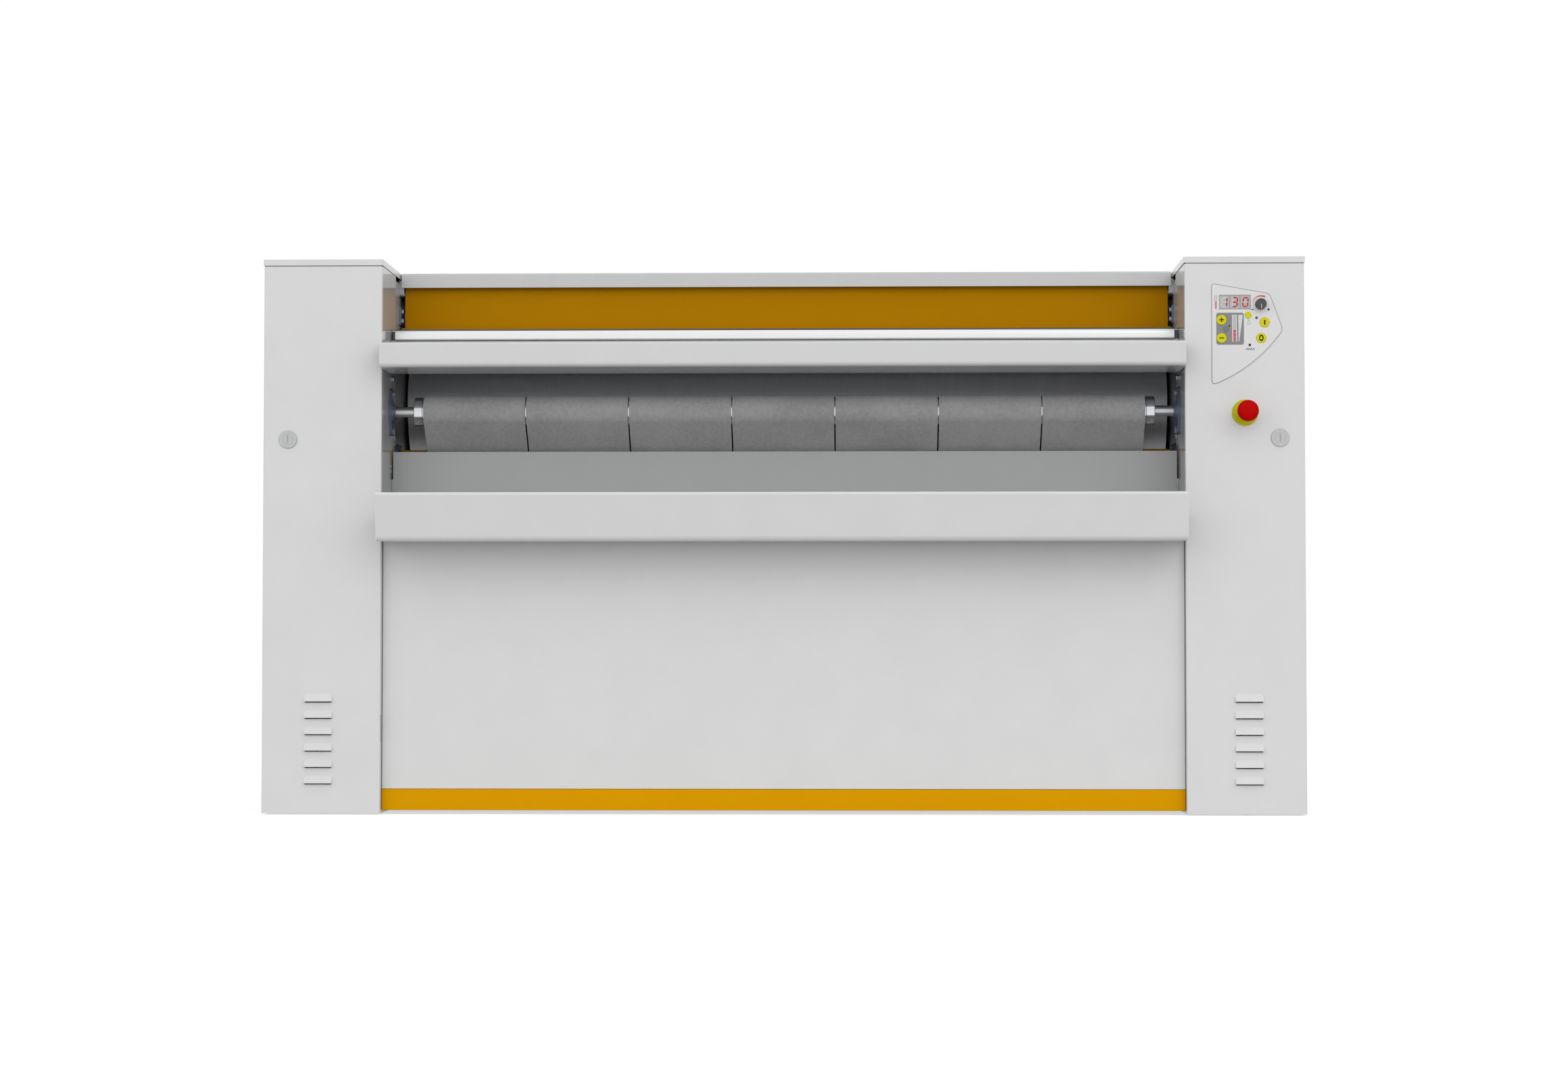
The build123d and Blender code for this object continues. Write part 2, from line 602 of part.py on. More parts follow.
def cross_members():
    front = PANEL_DEPTH + PANEL_RETURN
    lower_front = tube_x(WALL_X, front, front + TUBE, TUBE_LOW, TUBE_LOW + TUBE)
    rear = FRAME_BACK - 10
    lower_rear = tube_x(PLATE_X, rear - TUBE, rear, TUBE_LOW + 20, TUBE_LOW + 20 + TUBE)
    wall = TRAY_BACK + SHEET
    rest = TRAY_BACK_TOP - 52
    tray_rest = tube_x(WALL_X, wall, wall + TUBE / 2, rest - TUBE, rest)
    under = SHELF_TOP - SHEET
    feed_rest = tube_x(WALL_X, SHELF_BACK - 30, SHELF_BACK, under - 22, under, SHEET)
    tie = COLUMN_HEIGHT - 5
    top_tie = tube_x(PLATE_X, TIE_FRONT, TIE_FRONT + TUBE, tie - 24, tie)
    return [lower_front, lower_rear, tray_rest, feed_rest, top_tie]


def lower_beam():
    """Painted beam inside the belt loop that keeps hands from the cylinder's underside."""
    foot, rear = BEAM_TOP - BEAM_HEIGHT, BEAM_FRONT + BEAM_DEPTH
    beam = block(-PLATE_X, PLATE_X, BEAM_FRONT, rear, foot, BEAM_TOP)
    return beam - block(-PLATE_X - 1, PLATE_X + 1, BEAM_FRONT + SHEET, rear + 1, foot - 1,
                        BEAM_TOP - SHEET)


def hand_guard():
    plate = block(-GUARD_HALF, GUARD_HALF, GUARD_DEPTH, GUARD_DEPTH + SHEET,
                  GUARD_BOTTOM, GUARD_TOP)
    foot = block(-GUARD_FOOT_HALF, GUARD_FOOT_HALF, GUARD_DEPTH - GUARD_FOOT,
                 GUARD_DEPTH + SHEET, GUARD_BOTTOM, GUARD_BOTTOM + SHEET)
    ear = block(GUARD_HALF - SHEET, GUARD_HALF, GUARD_DEPTH, PIVOT_DEPTH + 8,
                PIVOT_HEIGHT - 8, GUARD_TOP)
    hole = bar_x(GUARD_HALF - 5, GUARD_HALF + 1, PIVOT_DEPTH, PIVOT_HEIGHT,
                 PIVOT_RADIUS + SHAFT_FIT)
    ears = both_sides(ear - hole)
    holes = both_sides(hole)
    return plate + foot + ears[0] + ears[1] - holes[0] - holes[1]


def cover_bracket(front, rear, foot):
    """A stepped sheet on the right side plate that carries the top cover's end."""
    wall, gauge = PLATE_X, BRACKET_GAUGE
    step = BRACKET_STEP
    riser = COVER_HALF - 4
    seat = COVER_TOP - SHEET
    bracket = block(wall - gauge, wall, front, rear, foot, step)
    bracket += block(riser - gauge, wall, front, rear, step - gauge, step)
    bracket += block(riser - gauge, riser, front, rear, step - gauge, seat)
    return bracket + block(riser - 14, riser, front, rear, seat - gauge, seat)


def cover_brackets():
    """Brackets under both ends of the top cover; the front pair holds the guard's pivots."""
    start = COVER_FRONT + SHEET + 2
    front = cover_bracket(start, start + 76, PIVOT_HEIGHT - 7)
    near = GUARD_HALF + EAR_GAP
    front += block(near, PLATE_X, start, start + BRACKET_GAUGE, PIVOT_HEIGHT - 3, BRACKET_STEP)
    front += bar_x(GUARD_HALF - SHEET - 3, PLATE_X - 1, PIVOT_DEPTH, PIVOT_HEIGHT, PIVOT_RADIUS)
    front += bar_x(near, PLATE_X - 1, PIVOT_DEPTH, PIVOT_HEIGHT, PIVOT_RADIUS + 3)
    return [front, cover_bracket(FRAME_BACK - 96, FRAME_BACK - 16, BRACKET_STEP - 23)]


# ---------------------------------------------------------------- cylinder, rollers and bearings
def heated_cylinder():
    ring = CYLINDER_RADIUS - CYLINDER_WALL
    half = [(0, CYLINDER_RADIUS), (CYLINDER_HALF, CYLINDER_RADIUS), (CYLINDER_HALF, ring),
            (CYLINDER_HALF - 2, ring), (CYLINDER_HALF - 2, JOURNAL_RADIUS),
            (JOURNAL_END, JOURNAL_RADIUS), (JOURNAL_END, JOURNAL_BORE),
            (CYLINDER_HALF - 14, JOURNAL_BORE), (CYLINDER_HALF - 14, ring), (0, ring)]
    section = make_face(Polyline(*half, close=True))
    right = revolve(section, axis=Axis.X, revolution_arc=360)
    middle = at(0, CYLINDER_DEPTH, CYLINDER_HEIGHT)
    return middle * (right + mirror(right, about=Plane.YZ))


def heating_elements():
    """Fixed rods on a tube that passes through the hollow journals."""
    end = JOURNAL_END + 10 + HEATER_ARM
    tube = bar_x(-end, end, CYLINDER_DEPTH, CYLINDER_HEIGHT, HEATER_TUBE)
    for i in range(HEATER_COUNT):
        turn = radians(360 * i / HEATER_COUNT)
        tube += bar_x(-HEATER_HALF, HEATER_HALF, CYLINDER_DEPTH + HEATER_CIRCLE * cos(turn),
                      CYLINDER_HEIGHT + HEATER_CIRCLE * sin(turn), HEATER_ROD)
    for x in (10 - HEATER_HALF, 0, HEATER_HALF - 10):
        tube += bar_x(x - 2, x + 2, CYLINDER_DEPTH, CYLINDER_HEIGHT, HEATER_CIRCLE + 12)
    front, rear = CYLINDER_DEPTH - 16, CYLINDER_DEPTH + 16
    foot = CYLINDER_HEIGHT - HEATER_DROP
    strap = block(end - HEATER_ARM, end, front, rear, foot, CYLINDER_HEIGHT)
    leg = block(PLATE_OUT, end, front, rear, foot, foot + HEATER_ARM)
    arms = both_sides(strap + leg)
    return tube + arms[0] + arms[1]


def roller_bore():
    return ROLLER_RADIUS - ROLLER_WALL


def roller(place, wall, rings=False):
    """A tube with webs on a shaft; the shaft ends inside the bearings on the walls."""
    tube = ROLLER_RADIUS
    bore = roller_bore()
    end = wall - 2
    half = [(0, tube), (ROLLER_HALF, tube), (ROLLER_HALF, bore), (ROLLER_HALF - 12, bore),
            (ROLLER_HALF - 12, ROLLER_SHAFT), (end, ROLLER_SHAFT), (end, 0), (0, 0),
            (0, ROLLER_SHAFT), (ROLLER_HALF - 20, ROLLER_SHAFT), (ROLLER_HALF - 20, bore),
            (0, bore)]
    if rings:
        half[1:4] = [(ROLLER_HALF - RING_WIDTH, tube), (ROLLER_HALF - RING_WIDTH, tube - 0.6),
                     (ROLLER_HALF - RING_WIDTH + 0.8, tube - 0.6),
                     (ROLLER_HALF - RING_WIDTH + 0.8, tube), (ROLLER_HALF - 1, tube),
                     (ROLLER_HALF, tube - 1)]
    section = make_face(Polyline(*half, close=True))
    right = revolve(section, axis=Axis.X, revolution_arc=360)
    return at(0, *place) * (right + mirror(right, about=Plane.YZ))


def flange_bearing(place, wall, tilt=0.0):
    """Oval two-bolt flange unit on the right wall at this X, with its boss facing inwards."""
    half = BEARING_BOLTS / 2
    ear = BEARING_LENGTH / 2 - half
    plate = make_hull([*Circle(BEARING_BODY).edges(), *(Pos(0, half) * Circle(ear)).edges(),
                       *(Pos(0, -half) * Circle(ear)).edges()])
    unit = extrude(plate, amount=BEARING_FLANGE)
    unit += Cylinder(BEARING_BODY - 3.5, BEARING_BOSS - 4, align=STANDING)
    unit += Cylinder(ROLLER_SHAFT + 4, BEARING_BOSS, align=STANDING)
    unit -= Cylinder(ROLLER_SHAFT + SHAFT_FIT, 3 * BEARING_BOSS)
    for side in (-1, 1):
        unit -= Pos(0, side * half, 0) * Cylinder(BOLT_RADIUS + 0.3, 3 * BEARING_BOSS)
    return at(wall, *place) * Rot(0, -90, 0) * Rot(0, 0, 90 + tilt) * unit


def bearing_bolts(place, wall, tilt=0.0):
    bolts = []
    for side in (-1, 1):
        offset = side * BEARING_BOLTS / 2
        head = Pos(0, offset, BEARING_FLANGE) * extrude(RegularPolygon(7.5, 6), amount=5.3)
        shank = Pos(0, offset, 0) * Cylinder(BOLT_RADIUS, BEARING_FLANGE, align=STANDING)
        bolts.append(at(wall, *place) * Rot(0, -90, 0) * Rot(0, 0, 90 + tilt) * (head + shank))
    return bolts


def feed_bush(place, wall):
    """Small block with two screws that holds the feed roller's shaft."""
    boss = Cylinder(BUSH_BOSS, BUSH_BOSS, align=STANDING)
    length = BUSH_SCREW_REACH + 24
    middle = Pos(length / 2 - BUSH_SCREW_REACH - 12, 0, BUSH_FOOT / 2)
    foot = middle * Box(length, BUSH_SCREWS + 16, BUSH_FOOT)
    unit = boss + foot - Cylinder(ROLLER_SHAFT + SHAFT_FIT, 4 * BUSH_BOSS)
    for side in (-1, 1):
        screw = Pos(-BUSH_SCREW_REACH, side * BUSH_SCREWS / 2, 0)
        unit -= screw * Cylinder(BOLT_RADIUS + 0.3, 4 * BUSH_FOOT)
    return at(wall, *place) * Rot(0, -90, 0) * Rot(0, 0, 90) * unit


def cylinder_bearing():
    """Square flange unit for a journal, on the outside of the right side plate."""
    unit = Box(CYLINDER_UNIT, CYLINDER_UNIT, 14, align=STANDING)
    unit = fillet(unit.edges().filter_by(Axis.Z), 14)
    unit += Cylinder(JOURNAL_RADIUS + 20, CYLINDER_UNIT_BOSS, align=STANDING)
    unit -= Cylinder(JOURNAL_RADIUS + SHAFT_FIT, 3 * CYLINDER_UNIT_BOSS)
    half = CYLINDER_UNIT_BOLTS / 2
    for x in (-half, half):
        for y in (-half, half):
            unit -= Pos(x, y, 0) * Cylinder(6.5, 2 * CYLINDER_UNIT_BOSS)
    return at(PLATE_OUT, CYLINDER_DEPTH, CYLINDER_HEIGHT) * Rot(0, 90, 0) * unit


# ---------------------------------------------------------------- drive
def pitch_radius(teeth):
    return CHAIN_PITCH / 2 / sin(pi / teeth)


def sprocket(teeth, bore):
    """A chain sprocket's disc along X, with its middle at the origin."""
    pitch = pitch_radius(teeth)
    root = pitch - 4.3
    tip = CHAIN_PITCH * (0.6 + 1 / tan(pi / teeth)) / 2
    tooth_foot = CHAIN_PITCH * 0.22
    tooth_tip = CHAIN_PITCH * 0.1
    outline = []
    for i in range(teeth):
        turn = 2 * pi * i / teeth
        for radius, offset in ((root, -tooth_foot), (tip, -tooth_tip), (tip, tooth_tip),
                               (root, tooth_foot)):
            swing = turn + offset / radius
            outline.append((radius * cos(swing), radius * sin(swing)))
    face = make_face(Polyline(*outline, close=True)) - Circle(bore)
    return Rot(0, 90, 0) * extrude(face, amount=SPROCKET_WIDTH / 2, both=True)


def cylinder_sprocket():
    disc = sprocket(CYLINDER_TEETH, JOURNAL_RADIUS)
    hub = Rot(0, 90, 0) * (Cylinder(JOURNAL_RADIUS + 12, 16) - Cylinder(JOURNAL_RADIUS, 20))
    shape = disc + hub
    ring = (JOURNAL_RADIUS + 12 + pitch_radius(CYLINDER_TEETH)) / 2
    for i in range(5):
        shape -= Rot(72 * i, 0, 0) * Pos(0, ring, 0) * Rot(0, 90, 0) * Cylinder(20, 20)
    return at(-SPROCKET_X, CYLINDER_DEPTH, CYLINDER_HEIGHT) * shape


def motor_sprocket():
    shape = sprocket(MOTOR_TEETH, MOTOR_SHAFT)
    shape += Pos(-13, 0, 0) * Rot(0, 90, 0) * Cylinder(MOTOR_SHAFT, 42)
    shape += Pos(-6, 0, 0) * Rot(0, 90, 0) * Cylinder(20, 5)
    return at(-SPROCKET_X, CYLINDER_DEPTH, MOTOR_HEIGHT) * shape


def drive_chain():
    """The chain as one channel round both sprockets, open towards their teeth."""
    big = pitch_radius(CYLINDER_TEETH)
    small = pitch_radius(MOTOR_TEETH)

    def loop(grow):
        return belt_line([(CYLINDER_DEPTH, MOTOR_HEIGHT, small + grow, 1),
                          (CYLINDER_DEPTH, CYLINDER_HEIGHT, big + grow, 1)])
    plate = 5.9
    side = SPROCKET_WIDTH / 2 + 0.4
    wide = side + 2.2
    chain = across(loop(plate) - loop(-plate), -SPROCKET_X - wide, -SPROCKET_X + wide)
    return chain - across(loop(plate - 1.5) - loop(-plate - 1), -SPROCKET_X - side,
                          -SPROCKET_X + side)


def gearmotor():
    """Worm gearbox on the motor shelf with its motor towards the door."""
    near = -GEARBOX_FACE
    middle = -(GEARBOX_BACK + GEARBOX_FACE) / 2
    low, high = MOTOR_HEIGHT - GEARBOX_HALF, MOTOR_HEIGHT + GEARBOX_HALF
    front = CYLINDER_DEPTH - GEARBOX_HALF
    box = block(-GEARBOX_BACK, near, front, CYLINDER_DEPTH + GEARBOX_HALF, low, high)
    box = fillet(box.edges().filter_by(Axis.X), 20)
    box += bar_x(near - 2, near + 6, CYLINDER_DEPTH, MOTOR_HEIGHT, MOTOR_SHAFT + 30)
    box -= bar_x(near - 20, near + 7, CYLINDER_DEPTH, MOTOR_HEIGHT, MOTOR_SHAFT + SHAFT_FIT)
    flange = front - 14
    cowl = flange - MOTOR_LENGTH
    box += bar_y(middle, flange, front, MOTOR_HEIGHT, MOTOR_RADIUS + 10)
    box += bar_y(middle, cowl, flange, MOTOR_HEIGHT, MOTOR_RADIUS)
    box += bar_y(middle, cowl - 35, cowl, MOTOR_HEIGHT, MOTOR_RADIUS + 3)
    for i in range(12):
        turned = Rot(0, 30 * i + 15, 0) * Pos(0, 0, MOTOR_RADIUS + 3)
        fin = Box(3, MOTOR_LENGTH - 16, 8)
        box += at(middle, (flange + cowl) / 2, MOTOR_HEIGHT) * turned * fin
    lid = flange - 46
    return box + block(middle - 38, middle + 38, lid - 90, lid, high - 20, high + 18)


# ---------------------------------------------------------------- exhaust and electrics
def spigot_height():
    """Height of the spigot's axis; its duct leaves the drum near the top."""
    return FAN_HEIGHT + FAN_RADIUS - SPIGOT_RADIUS - 6


def square_duct(x0, x1, half):
    """A square bar along X on the fan's axis."""
    return block(x0, x1, FAN_DEPTH - half, FAN_DEPTH + half, FAN_HEIGHT - half,
                 FAN_HEIGHT + half)


def exhaust_fan():
    """Volute in the right column, with its spigot through the rear panel."""
    near, far = FAN_X - FAN_WIDTH / 2, FAN_X + FAN_WIDTH / 2
    half = min(SPIGOT_RADIUS + 2, FAN_WIDTH / 2)
    end = COLUMN_DEPTH - SHEET
    outlet = COLUMN_DEPTH + SPIGOT_REACH

    def shell(grow):
        drum = bar_x(near + grow, far - grow, FAN_DEPTH, FAN_HEIGHT, FAN_RADIUS - grow)
        duct = block(FAN_X - half + grow, FAN_X + half - grow, FAN_DEPTH, end - grow,
                     spigot_height() - half + grow, spigot_height() + half - grow)
        return drum + duct
    housing = shell(0) - shell(SHEET)
    housing += bar_y(FAN_X, end - SHEET, COLUMN_DEPTH, spigot_height(),
                     SPIGOT_RADIUS + SPIGOT_COLLAR)
    housing += bar_y(FAN_X, COLUMN_DEPTH - 1, outlet, spigot_height(), SPIGOT_RADIUS)
    housing -= bar_y(FAN_X, end - SHEET - 1, outlet + 1, spigot_height(), SPIGOT_RADIUS - SHEET)
    housing -= bar_x(near - 1, near + SHEET + 1, FAN_DEPTH, FAN_HEIGHT, FAN_INLET)
    housing += bar_x(far, far + FAN_MOTOR_LENGTH, FAN_DEPTH, FAN_HEIGHT, FAN_MOTOR)
    housing -= bar_x(far - SHEET - 1, far + 20, FAN_DEPTH, FAN_HEIGHT, FAN_SHAFT + SHAFT_FIT)
    inlet = square_duct(PLATE_OUT, near, FAN_DUCT)
    inlet -= square_duct(PLATE_OUT - 1, near + 1, FAN_DUCT - SHEET)
    return housing + inlet


def fan_impeller():
    far = FAN_X + FAN_WIDTH / 2
    disc = far - 8
    wheel = bar_x(disc - 3, disc, FAN_DEPTH, FAN_HEIGHT, FAN_RADIUS - 18)
    wheel += bar_x(disc - 24, far + 18, FAN_DEPTH, FAN_HEIGHT, FAN_SHAFT)
    for i in range(FAN_BLADES):
        turned = Rot(360 * i / FAN_BLADES, 0, 0) * Pos(0, 0, FAN_RADIUS - 31) * Rot(35, 0, 0)
        wheel += at(disc - 36, FAN_DEPTH, FAN_HEIGHT) * turned * Box(70, 2, 24)
    return wheel


def electrical_board():
    wall = OUTER_X - SHEET
    face = wall - BOARD_STANDOFF
    rear, top = BOARD_FRONT + BOARD_LENGTH, BOARD_FOOT + BOARD_HEIGHT
    board = block(face - BOARD_GAUGE, face, BOARD_FRONT, rear, BOARD_FOOT, top)
    for depth in (BOARD_FRONT + 20, rear - 20):
        for height in (BOARD_FOOT + 20, top - 20):
            board += bar_x(face - 1, wall, depth, height, 5)
    for along, rise, length, tall, deep in BOARD_PARTS:
        board += block(face - 2 - deep, face - 2, BOARD_FRONT + along,
                       BOARD_FRONT + along + length, BOARD_FOOT + rise, BOARD_FOOT + rise + tall)
    return board


def cable_gland():
    inside = at(GLAND_X, COLUMN_DEPTH - SHEET, GLAND_HEIGHT) * Rot(90, 0, 0)
    outside = at(GLAND_X, COLUMN_DEPTH, GLAND_HEIGHT) * Rot(-90, 0, 0)
    nut = inside * extrude(RegularPolygon(GLAND_NUT, 6), amount=6)
    body = outside * extrude(RegularPolygon(GLAND_NUT, 6), amount=8)
    dome = outside * (Pos(0, 0, 7) * Cylinder(GLAND_NECK + 2, 17, align=STANDING))
    dome = fillet(dome.edges().group_by(Axis.Y)[-1], 4)
    neck = bar_y(GLAND_X, COLUMN_DEPTH - 8, COLUMN_DEPTH + 1, GLAND_HEIGHT, GLAND_NECK)
    bore = bar_y(GLAND_X, COLUMN_DEPTH - 20, COLUMN_DEPTH + 40, GLAND_HEIGHT, GLAND_BORE)
    return nut + body + dome + neck - bore


def levelling_feet():
    feet = []
    for depth in FOOT_DEPTHS:
        pad = bar_z(FOOT_X, depth, -FLOOR_GAP, 4, FOOT_RADIUS)
        pad = chamfer(pad.edges().group_by(Axis.Z)[-1], 2)
        stud = bar_z(FOOT_X, depth, 3, FRAME_FOOT + RAIL_HEIGHT + 8, FOOT_STUD)
        nut = FRAME_FOOT - 7
        lock = at(FOOT_X, depth, nut) * extrude(RegularPolygon(FOOT_STUD + 4.5, 6), amount=7)
        feet.append(pad + stud + lock)
    return feet


# ---------------------------------------------------------------- controls on the right door
def overlay_face():
    """Outline of the control overlay in X and height."""
    foot = (OVERLAY_X, OVERLAY_FOOT)
    top_left = (OVERLAY_X, OVERLAY_FOOT + 190.4)
    top_right = (OVERLAY_X + 108.0, OVERLAY_FOOT + 171.1)
    side = (OVERLAY_X + 132.5, OVERLAY_FOOT + 103.8)
    sag = (OVERLAY_X + 86.9, OVERLAY_FOOT + 51.8)
    line = Polyline(foot, top_left, top_right, side)
    curve = ThreePointArc(side, sag, foot)
    face = make_face(Wire([*line.edges(), curve]))
    return fillet(face.vertices(), OVERLAY_CORNER)


def control_overlay():
    face = Plane.XZ * overlay_face()
    sheet = at(0, 0, 0) * extrude(face, amount=OVERLAY_THICKNESS)
    for x, height, radius in KEYS.values():
        sheet -= bar_y(x, -2, 1, height, radius + SEAT)
    x0, x1, z0, z1 = DISPLAY
    sheet -= block(x0 - 0.2, x1 + 0.2, -2, 1, z0 - 0.2, z1 + 0.2)
    sheet -= bar_y(KNOB[0], -2, 1, KNOB[1], KNOB_SHAFT + SEAT)
    for x, height in LAMPS:
        sheet -= bar_y(x, -2, 1, height, LAMP_RADIUS + 0.2)
    return sheet


def control_cutouts():
    """Openings in the right door for the parts behind the overlay and the emergency stop."""
    cuts = []
    for x, height, radius in KEYS.values():
        cuts.append(bar_y(x, -1, SHEET + 1, height, radius + 0.5))
    x0, x1, z0, z1 = DISPLAY
    cuts.append(block(x0 - 0.5, x1 + 0.5, -1, SHEET + 1, z0 - 0.5, z1 + 0.5))
    cuts.append(bar_y(KNOB[0], -1, SHEET + 1, KNOB[1], KNOB_SHAFT + 0.5))
    for x, height in LAMPS:
        cuts.append(bar_y(x, -1, SHEET + 1, height, LAMP_RADIUS + 0.4))
    cuts.append(bar_y(ESTOP_X, -1, SHEET + 1, ESTOP_HEIGHT, ESTOP_NECK + 0.2))
    return cuts


def display_module():
    """Circuit board with the display block and the two lamps, on four spacers."""
    x0, x1, z0, z1 = DISPLAY
    left, right = OVERLAY_X + 3.5, OVERLAY_X + 112.5
    low, high = OVERLAY_FOOT + 62.8, OVERLAY_FOOT + 176.8
    board = block(left, right, BOARD_DEPTH, BOARD_DEPTH + 1.6, low, high)
    board += block(x0, x1, -0.6, BOARD_DEPTH, z0, z1)
    for x in (left + 5, right - 5):
        for height in (low + 5, high - 4):
            board += bar_y(x, SHEET, BOARD_DEPTH, height, 3)
    for x, height in LAMPS:
        lamp = bar_y(x, -2.2, BOARD_DEPTH, height, LAMP_RADIUS)
        board += fillet(lamp.edges().group_by(Axis.Y)[0], 1.4)
    return board - bar_y(KNOB[0], 0, BOARD_DEPTH + 5, KNOB[1], KNOB_SHAFT + SHAFT_FIT)


def control_knob():
    x, height = KNOB
    front = -OVERLAY_THICKNESS - 0.6
    body = bar_y(x, front - KNOB_LENGTH, front, height, KNOB_RADIUS)
    body = fillet(body.edges().group_by(Axis.Y)[0], 1.2)
    body -= block(x - 0.6, x + 0.6, front - KNOB_LENGTH - 1, front - KNOB_LENGTH + 0.5,
                  height - KNOB_RADIUS, height)
    return body + bar_y(x, front - 1, BOARD_DEPTH + 4, height, KNOB_SHAFT)


def panel_key(x, height, radius):
    """A key's cap with the stem that reaches its switch on the board."""
    front = -OVERLAY_THICKNESS - KEY_PROUD
    cap = bar_y(x, front, SHEET + 1, height, radius)
    cap = fillet(cap.edges().group_by(Axis.Y)[0], 0.5)
    return cap + bar_y(x, SHEET, BOARD_DEPTH - KEY_TRAVEL - SEAT, height, KEY_STEM)


def emergency_stop_base():
    collar = bar_y(ESTOP_X, -ESTOP_DISC, 0, ESTOP_HEIGHT, ESTOP_COLLAR)
    collar = chamfer(collar.edges().group_by(Axis.Y)[0], ESTOP_DISC / 4)
    base = collar + bar_y(ESTOP_X, -ESTOP_BOSS, 12, ESTOP_HEIGHT, ESTOP_NECK)
    base += at(ESTOP_X, SHEET, ESTOP_HEIGHT) * Rot(90, 0, 0) * extrude(
        RegularPolygon(17, 8), amount=-5)
    base += block(ESTOP_X - 15, ESTOP_X + 15, 11, 46, ESTOP_HEIGHT - 20, ESTOP_HEIGHT + 20)
    return base - bar_y(ESTOP_X, -ESTOP_BOSS - 1, 22, ESTOP_HEIGHT, ESTOP_PLUNGER + SHAFT_FIT)


def emergency_stop_plunger():
    rear = 22 - ESTOP_TRAVEL - 1
    return bar_y(ESTOP_X, 14 - ESTOP_REACH, rear, ESTOP_HEIGHT, ESTOP_PLUNGER)


def emergency_stop_cap():
    face = -ESTOP_REACH
    bore = ESTOP_PLUNGER + SHAFT_FIT
    head = [(0, face), (9, face + 0.5), (15, face + 2), (ESTOP_CAP - 0.8, face + 5),
            (ESTOP_CAP, face + 9), (ESTOP_CAP - 1, face + 15), (ESTOP_CAP - 5.5, face + 18.5),
            (13, face + 22), (13, face + 33), (bore, face + 33), (bore, face + 13.9),
            (0, face + 13.9)]
    crown = Spline(*head[:7])
    rest = Polyline(*head[6:], head[0])
    section = make_face(Wire([*crown.edges(), *rest.edges()]))
    turned = revolve(section, axis=Axis.Y, revolution_arc=360)
    return Pos(ESTOP_X, FACE_Y, up(ESTOP_HEIGHT)) * turned


# ---------------------------------------------------------------- fasteners
def hex_bolt(x, depth, height, head=4.2):
    """Bolt head on the right inner wall, pointing into the gap."""
    shape = extrude(RegularPolygon(6.5, 6), amount=head)
    return at(x, depth, height) * Rot(0, -90, 0) * shape


def wall_bolts():
    bolts = []
    for depth, height in ((130, COLUMN_HEIGHT - 202), (150, COLUMN_HEIGHT - 310)):
        bolts += both_sides(hex_bolt(WALL_X, depth, height))
    for place, wall, tilt in BEARINGS:
        for bolt in bearing_bolts(place, wall, tilt):
            bolts += both_sides(bolt)
    for side in (-1, 1):
        depth = FEED_ROLLER[0] - BUSH_SCREW_REACH
        height = FEED_ROLLER[1] + side * BUSH_SCREWS / 2
        shank = bar_x(PLATE_X - BUSH_FOOT, PLATE_X, depth, height, BOLT_RADIUS)
        bolts += both_sides(hex_bolt(PLATE_X - BUSH_FOOT, depth, height) + shank)
    return bolts


BEARINGS = (
    (OUTFEED_ROLLER, WALL_X, 0.0),
    (RETURN_ROLLER, PLATE_X, 0.0),
    (REAR_LOWER_ROLLER, PLATE_X, 0.0),
    (REAR_UPPER_ROLLER, PLATE_X, 0.0),
)


def roller_bearings():
    units = []
    for place, wall, tilt in BEARINGS:
        units += both_sides(flange_bearing(place, wall, tilt))
    return units + both_sides(feed_bush(FEED_ROLLER, PLATE_X))


